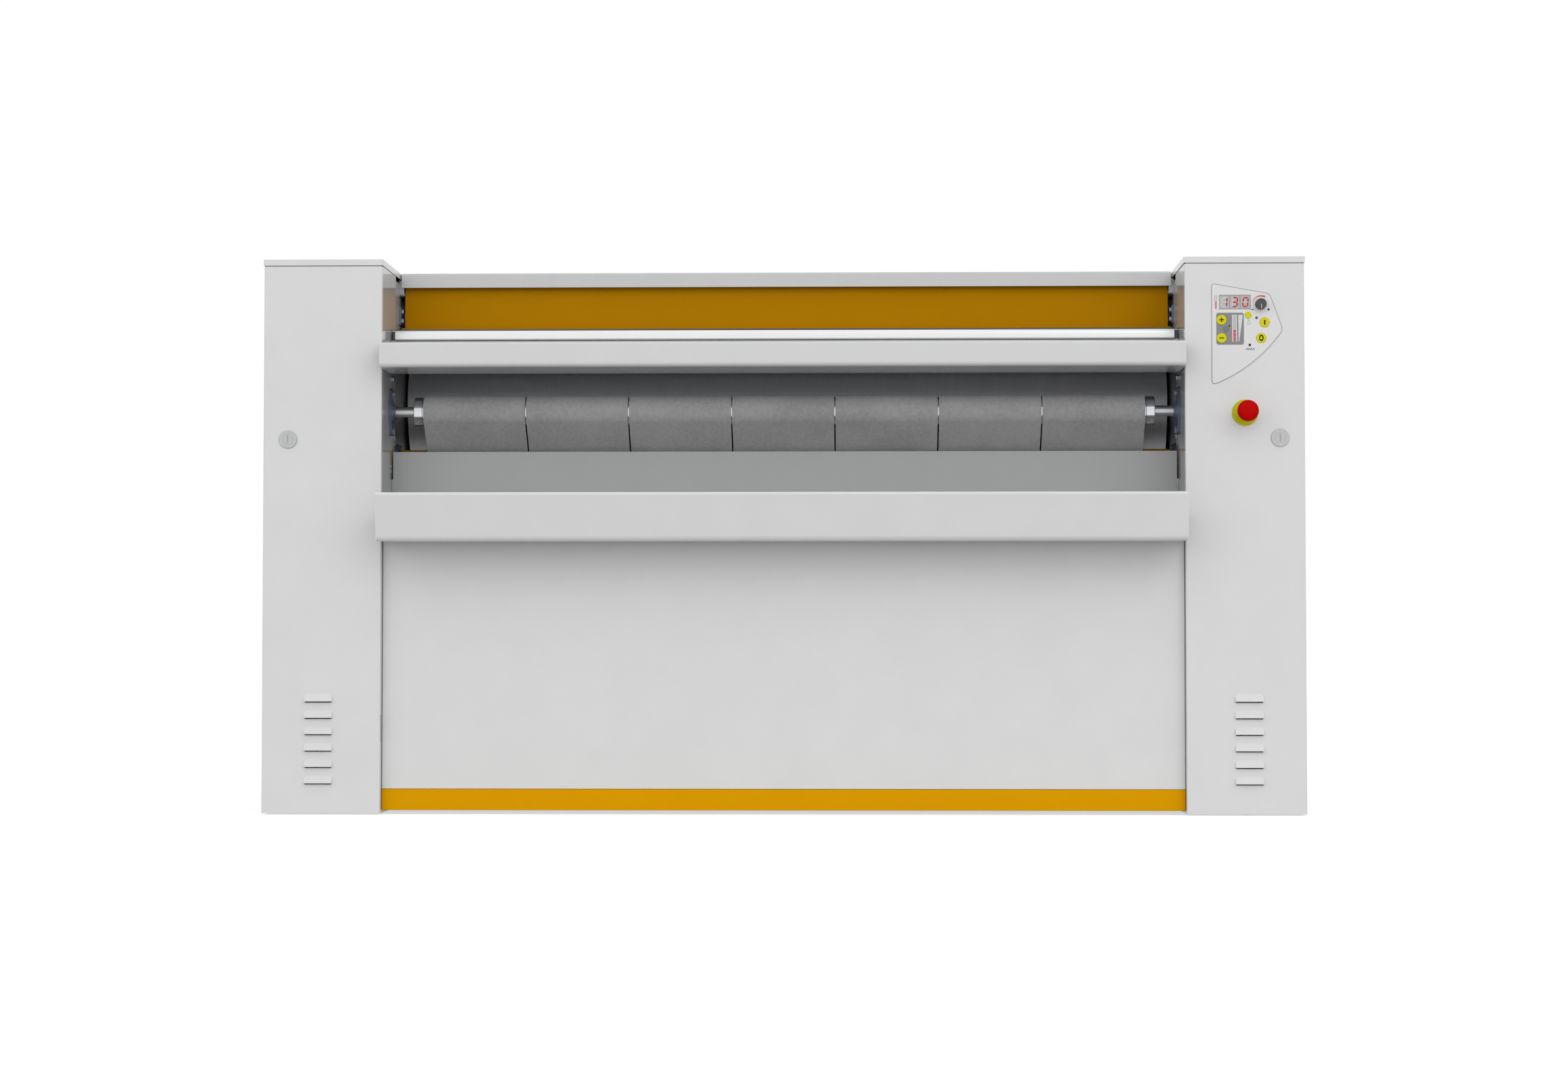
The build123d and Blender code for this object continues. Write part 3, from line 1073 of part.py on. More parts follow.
# ---------------------------------------------------------------- write every node
def main():
    os.makedirs("parts", exist_ok=True)
    frame = side_frame()
    inlet = square_duct(PLATE_X - 1, PLATE_OUT + 1, FAN_DUCT - 10)
    save("right_side_frame", frame - inlet)
    save("left_side_frame", mirrored(frame) + motor_shelf())
    for name, shape in (("inner_casing", inner_casing()), ("outer_panel", outer_panel()),
                        ("top_cap", top_cap())):
        save(f"right_{name}", shape)
        save(f"left_{name}", mirrored(shape))
    gland_hole = bar_y(GLAND_X, COLUMN_DEPTH - 5, COLUMN_DEPTH + 5, GLAND_HEIGHT,
                       GLAND_NECK + 0.2)
    spigot_hole = bar_y(FAN_X, COLUMN_DEPTH - 5, COLUMN_DEPTH + 5, spigot_height(),
                        SPIGOT_RADIUS + SPIGOT_COLLAR + SEAT)
    save("right_rear_panel", rear_panel([gland_hole, spigot_hole]))
    save("left_rear_panel", mirrored(rear_panel([])))

    plain_door = door()
    save("left_door", mirrored(plain_door))
    controls_door = plain_door
    for cut in control_cutouts():
        controls_door -= cut
    save("right_door", controls_door)
    save("door_hinges", *[s for hinge in door_hinges() for s in both_sides(hinge)])
    for name, shape in (("lock_barrel", lock_barrel()), ("lock_core", lock_core())):
        save(f"right_{name}", shape)
        save(f"left_{name}", mirrored(shape))

    save("front_panel", front_pan(PANEL_BOTTOM, PANEL_TOP))
    save("plinth_strip", front_pan(PLINTH_BOTTOM, PLINTH_TOP))
    save("feed_shelf", feed_shelf())
    save("feed_nose_bar", feed_nose_bar())
    save("feed_plate", feed_plate())
    save("linen_tray", linen_tray())
    save("top_cover", top_cover())
    save("rear_cover", rear_cover())
    save("cross_members", *cross_members())
    save("lower_beam", lower_beam())
    save("hand_guard", hand_guard())
    save("cover_brackets", *[s for b in cover_brackets() for s in both_sides(b)])

    save("ironing_belts", *ironing_belts())
    save("heated_cylinder", heated_cylinder())
    save("heating_elements", heating_elements())
    save("cylinder_bearings", *both_sides(cylinder_bearing()))
    save("outfeed_roller", roller(OUTFEED_ROLLER, WALL_X, rings=True))
    for node, place in (("feed_roller", FEED_ROLLER), ("return_roller", RETURN_ROLLER),
                        ("rear_lower_roller", REAR_LOWER_ROLLER),
                        ("rear_upper_roller", REAR_UPPER_ROLLER)):
        save(node, roller(place, PLATE_X))
    save("roller_bearings", *roller_bearings())
    save("wall_bolts", *wall_bolts())

    save("cylinder_sprocket", cylinder_sprocket())
    save("motor_sprocket", motor_sprocket())
    save("drive_chain", drive_chain())
    save("gearmotor", gearmotor())
    save("exhaust_fan", exhaust_fan())
    save("fan_impeller", fan_impeller())
    save("electrical_board", electrical_board())
    save("cable_gland", cable_gland())
    save("levelling_feet", *[s for foot in levelling_feet() for s in both_sides(foot)])

    save("control_overlay", control_overlay())
    save("display_module", display_module())
    save("control_knob", control_knob())
    for node, (x, height, radius) in KEYS.items():
        save(node, panel_key(x, height, radius))
    save("emergency_stop_base", emergency_stop_base())
    save("emergency_stop_plunger", emergency_stop_plunger())
    save("emergency_stop_cap", emergency_stop_cap())


main()
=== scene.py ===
import json
from math import atan2, cos, pi, radians, sin, tan

import bmesh
import bpy
from mathutils import Matrix, Vector

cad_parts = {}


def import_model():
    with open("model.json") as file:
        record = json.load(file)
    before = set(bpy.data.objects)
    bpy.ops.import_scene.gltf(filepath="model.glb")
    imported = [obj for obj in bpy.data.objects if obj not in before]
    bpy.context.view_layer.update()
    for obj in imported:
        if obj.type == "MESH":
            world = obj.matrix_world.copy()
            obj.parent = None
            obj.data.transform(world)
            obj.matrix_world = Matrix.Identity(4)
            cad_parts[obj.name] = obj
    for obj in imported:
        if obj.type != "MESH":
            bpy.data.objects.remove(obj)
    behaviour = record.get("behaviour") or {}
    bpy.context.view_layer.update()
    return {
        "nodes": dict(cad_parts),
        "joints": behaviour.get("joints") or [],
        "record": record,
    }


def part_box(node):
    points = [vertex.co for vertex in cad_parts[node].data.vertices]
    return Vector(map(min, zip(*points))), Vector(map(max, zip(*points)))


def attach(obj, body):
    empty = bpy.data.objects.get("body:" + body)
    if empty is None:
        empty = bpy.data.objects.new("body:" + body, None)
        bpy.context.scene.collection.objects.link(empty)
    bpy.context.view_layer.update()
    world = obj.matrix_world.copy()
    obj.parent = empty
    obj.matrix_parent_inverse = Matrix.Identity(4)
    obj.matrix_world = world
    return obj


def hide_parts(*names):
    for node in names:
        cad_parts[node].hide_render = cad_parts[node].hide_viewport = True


# Flatwork ironer: finishes, bevelled sheet metal, printed controls and light round the packed
# model. Lengths are in metres. The controls are drawn in millimetres, as X and height on the front
# of the right column.

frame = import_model()
nodes = frame["nodes"]
MM = 0.001

# ---------------------------------------------------------------- places taken from the frame
CAP_LAP = 1.5 * MM                                  # the caps stand out this far past the columns
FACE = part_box("right_top_cap")[0].y + CAP_LAP       # the columns' front plane
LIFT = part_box("right_door")[0].z                    # the columns' lower edge
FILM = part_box("control_overlay")[0].y               # front of the control overlay
KEY_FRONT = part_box("key_start")[0].y
SLOTS = {part["node"]: part["material_slot"] for part in frame["record"]["subparts"]}
BODIES = frame["record"]["behaviour"]["bodies"]
RIDES = {node: body for body, members in BODIES.items() for node in members}


def axis_of(joint):
    """A point on a joint's axis."""
    for known in frame["joints"]:
        if known["name"] == joint:
            return Vector(known["pos_m"])
    raise KeyError(joint)


# ---------------------------------------------------------------- node groups
COLOUR, NUMBER, VECTOR = "NodeSocketColor", "NodeSocketFloat", "NodeSocketVector"


def wire(tree, *pairs):
    for start, end in pairs:
        tree.links.new(start, end)


def add(tree, kind, **values):
    """A node with its properties and inputs set; an input goes by its name, with _ for a space."""
    node = tree.nodes.new(kind)
    for key, value in values.items():
        if hasattr(node, key):
            setattr(node, key, value)
        else:
            node.inputs[key.replace("_", " ")].default_value = value
    return node


def arithmetic(tree, operation, a, b):
    node = add(tree, "ShaderNodeMath", operation=operation)
    for i, value in enumerate((a, b)):
        if isinstance(value, (int, float)):
            node.inputs[i].default_value = value
        else:
            tree.links.new(value, node.inputs[i])
    return node.outputs[0]


def span(tree, value, low, high, to_low, to_high):
    """Map Range with its four limits."""
    node = add(tree, "ShaderNodeMapRange", From_Min=low, From_Max=high, To_Min=to_low,
               To_Max=to_high)
    tree.links.new(value, node.inputs["Value"])
    return node.outputs[0]


def noise(tree, place, **values):
    """A noise texture read at a place."""
    texture = add(tree, "ShaderNodeTexNoise", **values)
    tree.links.new(place, texture.inputs["Vector"])
    return texture


def begin(name, **inputs):
    """A node group with the given inputs, and Color, Roughness and Height as its outputs."""
    tree = bpy.data.node_groups.new(name, "ShaderNodeTree")
    for key, value in inputs.items():
        kind = NUMBER if isinstance(value, float) else VECTOR if len(value) == 3 else COLOUR
        made = tree.interface.new_socket(name=key, in_out="INPUT", socket_type=kind)
        made.default_value = value
    for key, kind in (("Color", COLOUR), ("Roughness", NUMBER), ("Height", NUMBER)):
        tree.interface.new_socket(name=key, in_out="OUTPUT", socket_type=kind)
    place = tree.nodes.new("ShaderNodeTexCoord").outputs["Object"]
    return tree, tree.nodes.new("NodeGroupInput"), place


def end(tree, enter, tone, roughness, height, other="Dark"):
    """Mixes the group's two colours by tone and wires its outputs."""
    leave = tree.nodes.new("NodeGroupOutput")
    mix = add(tree, "ShaderNodeMix", data_type="RGBA")
    wire(tree, (tone, mix.inputs["Factor"]), (enter.outputs["Base"], mix.inputs["A"]),
         (enter.outputs[other], mix.inputs["B"]), (mix.outputs["Result"], leave.inputs["Color"]),
         (roughness, leave.inputs["Roughness"]), (height, leave.inputs["Height"]))
    return tree


def uneven(tree, enter, texture, less, more):
    """The Gloss input, made a little lower or higher by a texture."""
    return arithmetic(tree, "ADD", enter.outputs["Gloss"],
                      span(tree, texture.outputs["Fac"], 0.3, 0.7, less, more))


def powder_group():
    """Powder coat: a fine orange peel, larger slow waves, and a slight drift of tone."""
    tree, enter, place = begin("powder_coat", Base=(0.7, 0.7, 0.7, 1), Dark=(0.6, 0.6, 0.6, 1),
                               Gloss=0.3)
    peel = noise(tree, place, Scale=900, Detail=2.0, Roughness=0.6)
    wave = noise(tree, place, Scale=14, Detail=3.0, Roughness=0.5)
    speck = noise(tree, place, Scale=2600, Detail=1.0, Roughness=0.5)
    tone = arithmetic(tree, "ADD", span(tree, wave.outputs["Fac"], 0.3, 0.7, 0.0, 0.35),
                      span(tree, speck.outputs["Fac"], 0.35, 0.65, 0.0, 0.5))
    height = arithmetic(tree, "ADD", peel.outputs["Fac"],
                        arithmetic(tree, "MULTIPLY", wave.outputs["Fac"], 3.0))
    return end(tree, enter, tone, uneven(tree, enter, peel, -0.03, 0.05), height)


def lines_group():
    """Fine lines left by a belt or a lathe; Stretch sets how far they run along each axis."""
    tree, enter, place = begin("tool_lines", Stretch=(1, 1, 1), Base=(0.6, 0.6, 0.6, 1),
                               Dark=(0.5, 0.5, 0.5, 1), Gloss=0.3)
    stretch = add(tree, "ShaderNodeVectorMath", operation="MULTIPLY")
    wire(tree, (place, stretch.inputs[0]), (enter.outputs["Stretch"], stretch.inputs[1]))
    fine = noise(tree, stretch.outputs[0], Scale=1.0, Detail=4.0, Roughness=0.7)
    cloud = noise(tree, place, Scale=22, Detail=3.0, Roughness=0.5)
    tone = arithmetic(tree, "MULTIPLY", span(tree, fine.outputs["Fac"], 0.3, 0.7, 0.0, 1.0),
                      span(tree, cloud.outputs["Fac"], 0.2, 0.8, 0.5, 1.0))
    return end(tree, enter, tone, uneven(tree, enter, fine, -0.05, 0.08), fine.outputs["Fac"])


def cloudy_group():
    """Zinc plate and castings: soft mottling with a fine grain."""
    tree, enter, place = begin("cloudy_metal", Grain=400.0, Base=(0.6, 0.6, 0.6, 1),
                               Dark=(0.5, 0.5, 0.5, 1), Gloss=0.4)
    grain = noise(tree, place, Detail=5.0, Roughness=0.65)
    spangle = add(tree, "ShaderNodeTexVoronoi", Scale=160.0)
    wire(tree, (enter.outputs["Grain"], grain.inputs["Scale"]), (place, spangle.inputs["Vector"]))
    tone = arithmetic(tree, "MULTIPLY", span(tree, grain.outputs["Fac"], 0.3, 0.7, 0.2, 1.0),
                      span(tree, spangle.outputs["Distance"], 0.0, 0.8, 0.6, 1.0))
    return end(tree, enter, tone, uneven(tree, enter, grain, -0.06, 0.1), grain.outputs["Fac"])


def felt_group():
    """Needled felt: short fibres lying all ways, needle rows across the belt, darker hollows."""
    tree, enter, place = begin("needled_felt", Base=(0.2, 0.2, 0.2, 1), Dark=(0.1, 0.1, 0.1, 1))
    fibre = noise(tree, place, Scale=650, Detail=4.0, Roughness=0.7, Distortion=1.6)
    tuft = noise(tree, place, Scale=150, Detail=3.0, Roughness=0.6)
    wear = noise(tree, place, Scale=9, Detail=3.0, Roughness=0.5)
    rows = add(tree, "ShaderNodeTexWave", wave_type="BANDS", bands_direction="X", Scale=95.0,
               Distortion=1.2, Detail=1.0)
    tree.links.new(place, rows.inputs["Vector"])
    tone = arithmetic(tree, "ADD", span(tree, fibre.outputs["Fac"], 0.35, 0.65, 0.0, 0.55),
                      span(tree, tuft.outputs["Fac"], 0.35, 0.65, 0.0, 0.3))
    tone = arithmetic(tree, "ADD", tone, span(tree, wear.outputs["Fac"], 0.35, 0.65, -0.1, 0.2))
    height = arithmetic(tree, "ADD", fibre.outputs["Fac"],
                        arithmetic(tree, "MULTIPLY", rows.outputs["Fac"], 0.15))
    return end(tree, enter, tone, span(tree, fibre.outputs["Fac"], 0.3, 0.7, 0.82, 0.98), height)


def moulded_group():
    """Moulded plastic, rubber and printed film: a fine spark-eroded grain and faint dust."""
    tree, enter, place = begin("moulded_grain", Grain=1500.0, Base=(0.5, 0.5, 0.5, 1),
                               Dust=(0.5, 0.5, 0.5, 1), Gloss=0.4)
    grain = noise(tree, place, Detail=2.0, Roughness=0.6)
    dust = noise(tree, place, Scale=40, Detail=4.0, Roughness=0.7)
    tree.links.new(enter.outputs["Grain"], grain.inputs["Scale"])
    return end(tree, enter, span(tree, dust.outputs["Fac"], 0.45, 0.75, 0.0, 0.35),
               uneven(tree, enter, grain, -0.04, 0.05), grain.outputs["Fac"], other="Dust")


POWDER = powder_group()
LINES = lines_group()
CLOUDY = cloudy_group()
FELT = felt_group()
MOULDED = moulded_group()


# ---------------------------------------------------------------- materials
def finish_from(name, group, values, bump, **surface):
    """A material whose colour, roughness and relief come from one of the groups above."""
    material = bpy.data.materials.new(name)
    material.use_nodes = True
    tree = material.node_tree
    shader = tree.nodes["Principled BSDF"]
    effect = tree.nodes.new("ShaderNodeGroup")
    effect.node_tree = group
    for key, value in values.items():
        effect.inputs[key].default_value = value
    relief = add(tree, "ShaderNodeBump", Strength=bump[0], Distance=bump[1])
    wire(tree, (effect.outputs["Color"], shader.inputs["Base Color"]),
         (effect.outputs["Roughness"], shader.inputs["Roughness"]),
         (effect.outputs["Height"], relief.inputs["Height"]),
         (relief.outputs["Normal"], shader.inputs["Normal"]))
    for key, value in surface.items():
        shader.inputs[key.replace("_", " ")].default_value = value
    return material


def shade(colour, factor=1.0, plus=0.0):
    return (*(part * factor + plus for part in colour), 1)


def painted(name, colour, gloss=0.12, **surface):
    values = {"Base": shade(colour), "Dark": shade(colour, 0.93), "Gloss": gloss}
    return finish_from(name, POWDER, values, (0.12, 0.02 * MM), **surface)


def tooled(name, colour, stretch, gloss, depth):
    values = {"Base": shade(colour), "Dark": shade(colour, depth), "Gloss": gloss,
              "Stretch": stretch}
    return finish_from(name, LINES, values, (0.15, 0.03 * MM), Metallic=1.0)


def mottled(name, colour, gloss, metallic, grain=400.0, depth=0.75):
    values = {"Base": shade(colour), "Dark": shade(colour, depth), "Gloss": gloss, "Grain": grain}
    return finish_from(name, CLOUDY, values, (0.25, 0.05 * MM), Metallic=metallic)


def moulded(name, colour, gloss, grain=1500.0, dust=0.05, **surface):
    values = {"Base": shade(colour), "Dust": shade(colour, plus=dust), "Gloss": gloss,
              "Grain": grain}
    return finish_from(name, MOULDED, values, (0.15, 0.02 * MM), **surface)


def ink(name, colour, gloss=0.45, dust=0.0):
    return moulded(name, colour, gloss, dust=dust, Specular_IOR_Level=0.1)


ALONG_X = (6.0, 2600.0, 2600.0)     # a belt's lines run along the machine
ROUND_X = (2600.0, 12.0, 12.0)      # a lathe's lines run round it

grey_powder = painted("grey_powder", (0.70, 0.702, 0.702))
# Darker copies of the grey powder coat, with shade painted in: the recessed top cover, the inner
# casings, the side frames deep in the columns and the feed shelf.
cover_painted_shade = painted("cover_painted_shade", (0.56, 0.565, 0.565))
casing_painted_shade = painted("casing_painted_shade", (0.49, 0.49, 0.485))
frame_painted_shade = painted("frame_painted_shade", (0.36, 0.365, 0.37), gloss=0.3)
shelf_painted_shade = painted("shelf_painted_shade", (0.65, 0.652, 0.652))
# The grey powder coat darkened inside the tray behind its rail: painted shade in the recess.
trough_painted_shade = painted("trough_painted_shade", (0.40, 0.405, 0.405))
ochre_powder = painted("ochre_powder", (0.72, 0.335, 0.0), gloss=0.45,
                       Specular_IOR_Level=0.02)
# The plinth's ochre darkened for the hand guard: painted shade under the top cover.
guard_ochre_painted_shade = painted("guard_ochre_painted_shade", (0.42, 0.188, 0.0), gloss=0.45, Specular_IOR_Level=0.02)
zinc_plate = mottled("zinc_plate", (0.46, 0.49, 0.55), 0.34, 1.0)
galvanised = mottled("galvanised_sheet", (0.50, 0.52, 0.54), 0.42, 1.0, grain=60.0)
dull_steel = tooled("dull_brushed_steel", (0.56, 0.565, 0.57), ALONG_X, 0.4, 0.85)
brushed_bright = tooled("brushed_bright", (0.86, 0.865, 0.87), ALONG_X, 0.28, 0.9)
polished_ring = tooled("polished_ring", (0.67, 0.68, 0.70), ROUND_X, 0.16, 0.9)
# Dark steel painted where there is only shade: the feed plate's riser in the dark gap under the
# guard, and the nose bar's upper edge as a painted reflection of that gap.
painted_shade_steel = tooled("steel_painted_shade", (0.10, 0.10, 0.105), ALONG_X, 0.28, 0.9)
hot_steel = tooled("hot_polished_steel", (0.80, 0.81, 0.835), ROUND_X, 0.5, 0.88)
roller_steel = tooled("roller_steel", (0.60, 0.62, 0.66), ROUND_X, 0.22, 0.88)
shaft_steel = tooled("turned_shaft", (0.60, 0.605, 0.61), ROUND_X, 0.33, 0.8)
cast_blue = mottled("cast_blue_grey", (0.17, 0.20, 0.27), 0.38, 0.4)
belt_felt = finish_from("belt_felt", FELT, {"Base": shade((0.43, 0.43, 0.432)),
                                            "Dark": shade((0.27, 0.27, 0.272))},
                        (0.6, 0.3 * MM), Sheen_Weight=0.15, Sheen_Roughness=0.6)
oiled_steel = mottled("oiled_steel", (0.16, 0.16, 0.17), 0.3, 1.0, grain=900.0)
hammer_paint = mottled("hammer_paint", (0.10, 0.15, 0.22), 0.3, 0.3, grain=120.0)
board_green = moulded("board_green", (0.03, 0.16, 0.07), 0.35)
black_plastic = moulded("black_plastic", (0.02, 0.02, 0.02), 0.45)
dark_plastic = moulded("dark_grey_plastic", (0.085, 0.086, 0.088), 0.5, dust=0.02,
                       Specular_IOR_Level=0.15)
display_grey = moulded("display_grey", (0.30, 0.30, 0.30), 0.3, dust=0.01)
cell_grey = moulded("display_cell", (0.42, 0.43, 0.43), 0.3, dust=0.01)
segment_off = moulded("segment_off", (0.56, 0.58, 0.58), 0.35, dust=0.01)
segment_lit = moulded("segment_lit", (0.50, 0.008, 0.015), 0.45, dust=0.0,
                      Specular_IOR_Level=0.1, Emission_Color=(0.5, 0.01, 0.02, 1),
                      Emission_Strength=0.15)
film_grey = moulded("overlay_film", (0.69, 0.69, 0.69), 0.38, grain=2400.0, dust=0.01)
print_line = ink("print_line", (0.24, 0.24, 0.25))
print_black = ink("print_black", (0.012, 0.012, 0.012))
print_dark = ink("print_dark", (0.13, 0.13, 0.135))
print_pad = ink("print_pad", (0.245, 0.245, 0.245), 0.42, dust=0.01)
print_white = moulded("print_white", (0.72, 0.72, 0.72), 0.42, dust=0.0)
print_red = moulded("print_red", (0.56, 0.10, 0.11), 0.42, dust=0.0)
key_yellow = moulded("key_yellow", (0.65, 0.60, 0.0), 0.4, dust=0.01, Specular_IOR_Level=0.12)
stop_yellow = moulded("stop_yellow", (0.48, 0.46, 0.0), 0.4, dust=0.01, Specular_IOR_Level=0.2)
stop_red = moulded("stop_red", (0.47, 0.0, 0.0), 0.5, dust=0.0, Specular_IOR_Level=0.05)
lamp_green = moulded("lamp_green", (0.006, 0.07, 0.02), 0.12, dust=0.0)
lamp_red = moulded("lamp_dark_red", (0.06, 0.004, 0.006), 0.12, dust=0.0)
lock_metal = mottled("lock_die_cast", (0.53, 0.535, 0.535), 0.4, 0.3, grain=1200.0, depth=0.9)
rubber = moulded("moulded_rubber", (0.022, 0.022, 0.024), 0.7)
seal_foam = moulded("seal_foam", (0.42, 0.42, 0.42), 0.8, dust=0.02)

FINISH = {
    "grey_paint": grey_powder, "ochre_paint": ochre_powder, "zinc_steel": galvanised,
    "stainless": brushed_bright, "chrome": hot_steel, "roller_steel": roller_steel,
    "cast_iron": cast_blue, "belt_felt": belt_felt, "chain_steel": oiled_steel,
    "motor_paint": hammer_paint, "circuit": board_green, "black_plastic": black_plastic,
    "grey_plastic": display_grey, "overlay_film": film_grey, "key_yellow": key_yellow,
    "stop_yellow": stop_yellow, "stop_red": stop_red, "dark_grey_plastic": dark_plastic,
    "lock_metal": lock_metal, "rubber": rubber,
}
# Finishes for single nodes; the darker greys and the hand guard's ochre have shade painted in.
NODE_FINISH = {"wall_bolts": zinc_plate, "door_hinges": zinc_plate, "feed_plate": dull_steel,
               "hand_guard": guard_ochre_painted_shade, "top_cover": cover_painted_shade, "feed_shelf": shelf_painted_shade,
               "left_inner_casing": casing_painted_shade, "right_inner_casing": casing_painted_shade,
               "left_side_frame": frame_painted_shade, "right_side_frame": frame_painted_shade}


# ---------------------------------------------------------------- making a piece
CREASE = 32.0                   # degrees; edges sharper than this stay sharp
CUT_CREASE = 30.0               # the same for a piece that has been cut
BEVELLED = 30.0                 # degrees; edges sharper than this are rounded
WELD = 0.002 * MM               # corners of a CAD node closer than this are one
FLAT = 0.4                      # degrees; triangles nearer to one plane than this are one face


def shown(name, data):
    """A new object in the scene, from a mesh, a lamp or a camera."""
    made = bpy.data.objects.new(name, data)
    bpy.context.scene.collection.objects.link(made)
    return made


def mesh_of(name, bm):
    mesh = bpy.data.meshes.new(name)
    bm.to_mesh(mesh)
    bm.free()
    return mesh


def piece(name, bm, material, body, stands_for=()):
    """Turns a bmesh, already in its place, into a finished object that rides on a body."""
    mesh = mesh_of(name, bm)
    mesh.materials.append(material)
    mesh.shade_smooth()
    mesh.set_sharp_from_angle(angle=radians(CREASE))
    made = shown(name, mesh)
    flats = made.modifiers.new("flat_faces", "WEIGHTED_NORMAL")
    flats.keep_sharp = True
    if stands_for:
        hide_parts(*stands_for)
    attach(made, body)
    return made


def carve(made, bm, operation):
    """Cuts a finished piece with a closed shape, or keeps only what lies inside it."""
    cutter = shown("cutter", mesh_of("cutter", bm))
    cut = made.modifiers.new("cut", "BOOLEAN")
    cut.operation = operation
    cut.solver = "EXACT"
    cut.object = cutter
    bpy.context.view_layer.update()
    worked = made.evaluated_get(bpy.context.evaluated_depsgraph_get())
    shape = bpy.data.meshes.new_from_object(worked)
    made.modifiers.remove(cut)
    made.data = shape
    bpy.data.objects.remove(cutter)
    made.data.set_sharp_from_angle(angle=radians(CUT_CREASE))


def rounded(bm, width):
    """Bevels the sharp edges of a closed mesh."""
    edges = [e for e in bm.edges if e.is_manifold and e.calc_face_angle(0) > radians(BEVELLED)]
    bmesh.ops.bevel(bm, geom=edges, offset=width, offset_type="OFFSET", segments=2,
                    profile=0.5, affect="EDGES", clamp_overlap=True, material=-1)


def merged(node):
    """A bmesh of a CAD node with its triangles joined and its flat faces made whole."""
    bm = bmesh.new()
    bm.from_mesh(nodes[node].data)
    bmesh.ops.remove_doubles(bm, verts=bm.verts, dist=WELD)
    bmesh.ops.dissolve_limit(bm, angle_limit=radians(FLAT), verts=bm.verts, edges=bm.edges)
    return bm


def finished(node, width=0.0):
    """A copy of a CAD node that stands for it, with its sharp edges rounded to a width."""
    bm = merged(node)
    if width:
        rounded(bm, width)
    slot = SLOTS[node]
    return piece(f"{node}_finished", bm, NODE_FINISH.get(node) or FINISH[slot], RIDES[node],
                 (node,))


def box_between(bm, low, high):
    size = Vector(high) - Vector(low)
    middle = (Vector(high) + Vector(low)) / 2
    grow = Matrix.Translation(middle) @ Matrix.Diagonal((*size, 1))
    bmesh.ops.create_cube(bm, size=1, matrix=grow)


def turned(points, centre, segments=96, axis=(1, 0, 0)):
    """A lathe form: points are (along the axis, radius) in metres, closed on themselves."""
    bm = bmesh.new()
    along, away = Vector(axis), Vector((0, 0, 1))
    verts = [bm.verts.new(centre + along * a + away * r) for a, r in points]
    for i in range(len(verts)):
        bm.edges.new((verts[i - 1], verts[i]))
    bmesh.ops.spin(bm, geom=bm.verts[:] + bm.edges[:], cent=centre, axis=axis, dvec=(0, 0, 0),
                   angle=2 * pi, steps=segments, use_merge=True, use_duplicate=False)
    bmesh.ops.remove_doubles(bm, verts=bm.verts, dist=0.001 * MM)
    bmesh.ops.dissolve_degenerate(bm, edges=bm.edges, dist=0.0005 * MM)
    bmesh.ops.recalc_face_normals(bm, faces=bm.faces)
    return bm


# ---------------------------------------------------------------- flat shapes, drawn in millimetres
PRINT = 0.12 * MM               # thickness of a printed mark


def flat(bm, *corners):
    bm.faces.new([bm.verts.new((x, y, 0)) for x, y in corners])


def strip(bm, x0, x1, y0, y1, corner=0.0):
    verts = [bm.verts.new(c) for c in ((x0, y0, 0), (x1, y0, 0), (x1, y1, 0), (x0, y1, 0))]
    bm.faces.new(verts)
    if corner:
        bmesh.ops.bevel(bm, geom=verts, offset=corner, offset_type="OFFSET", segments=6,
                        profile=0.5, affect="VERTICES", material=-1)


def disc(bm, x, y, radius, steps=40):
    bmesh.ops.create_circle(bm, cap_ends=True, segments=steps, radius=radius,
                            matrix=Matrix.Translation((x, y, 0)))


def ring(bm, x, y, outer, inner, steps=48, wide=1.0):
    edges = []
    for radius in (outer, inner):
        shape = Matrix.Translation((x, y, 0)) @ Matrix.Diagonal((wide, 1, 1, 1))
        verts = bmesh.ops.create_circle(bm, cap_ends=False, segments=steps, radius=radius,
                                        matrix=shape)["verts"]
        edges += list({e for v in verts for e in v.link_edges})
    bmesh.ops.bridge_loops(bm, edges=edges)


def stood_up(bm, thick, depth):
    """Gives a flat drawing its thickness and sets it upright, its back at a depth in metres."""
    grown = bmesh.ops.extrude_face_region(bm, geom=bm.faces[:], use_keep_orig=True)
    raised = [g for g in grown["geom"] if isinstance(g, bmesh.types.BMVert)]
    bmesh.ops.translate(bm, verts=raised, vec=(0, 0, thick))
    bmesh.ops.scale(bm, verts=bm.verts, vec=(MM, MM, MM))
    bmesh.ops.rotate(bm, verts=bm.verts, cent=(0, 0, 0), matrix=Matrix.Rotation(pi / 2, 3, "X"))
    bmesh.ops.translate(bm, verts=bm.verts, vec=(0, depth, LIFT))
    bmesh.ops.recalc_face_normals(bm, faces=bm.faces)


def printed(name, draw, material, body="door_r", front=FILM):
    """A mark printed on the controls: drawn in X and height, and raised towards the operator."""
    bm = bmesh.new()
    draw(bm)
    bmesh.ops.recalc_face_normals(bm, faces=bm.faces)
    for face in bm.faces:
        if face.normal.z < 0:
            face.normal_flip()
    stood_up(bm, PRINT / MM, front)
    return piece(name, bm, material, body)


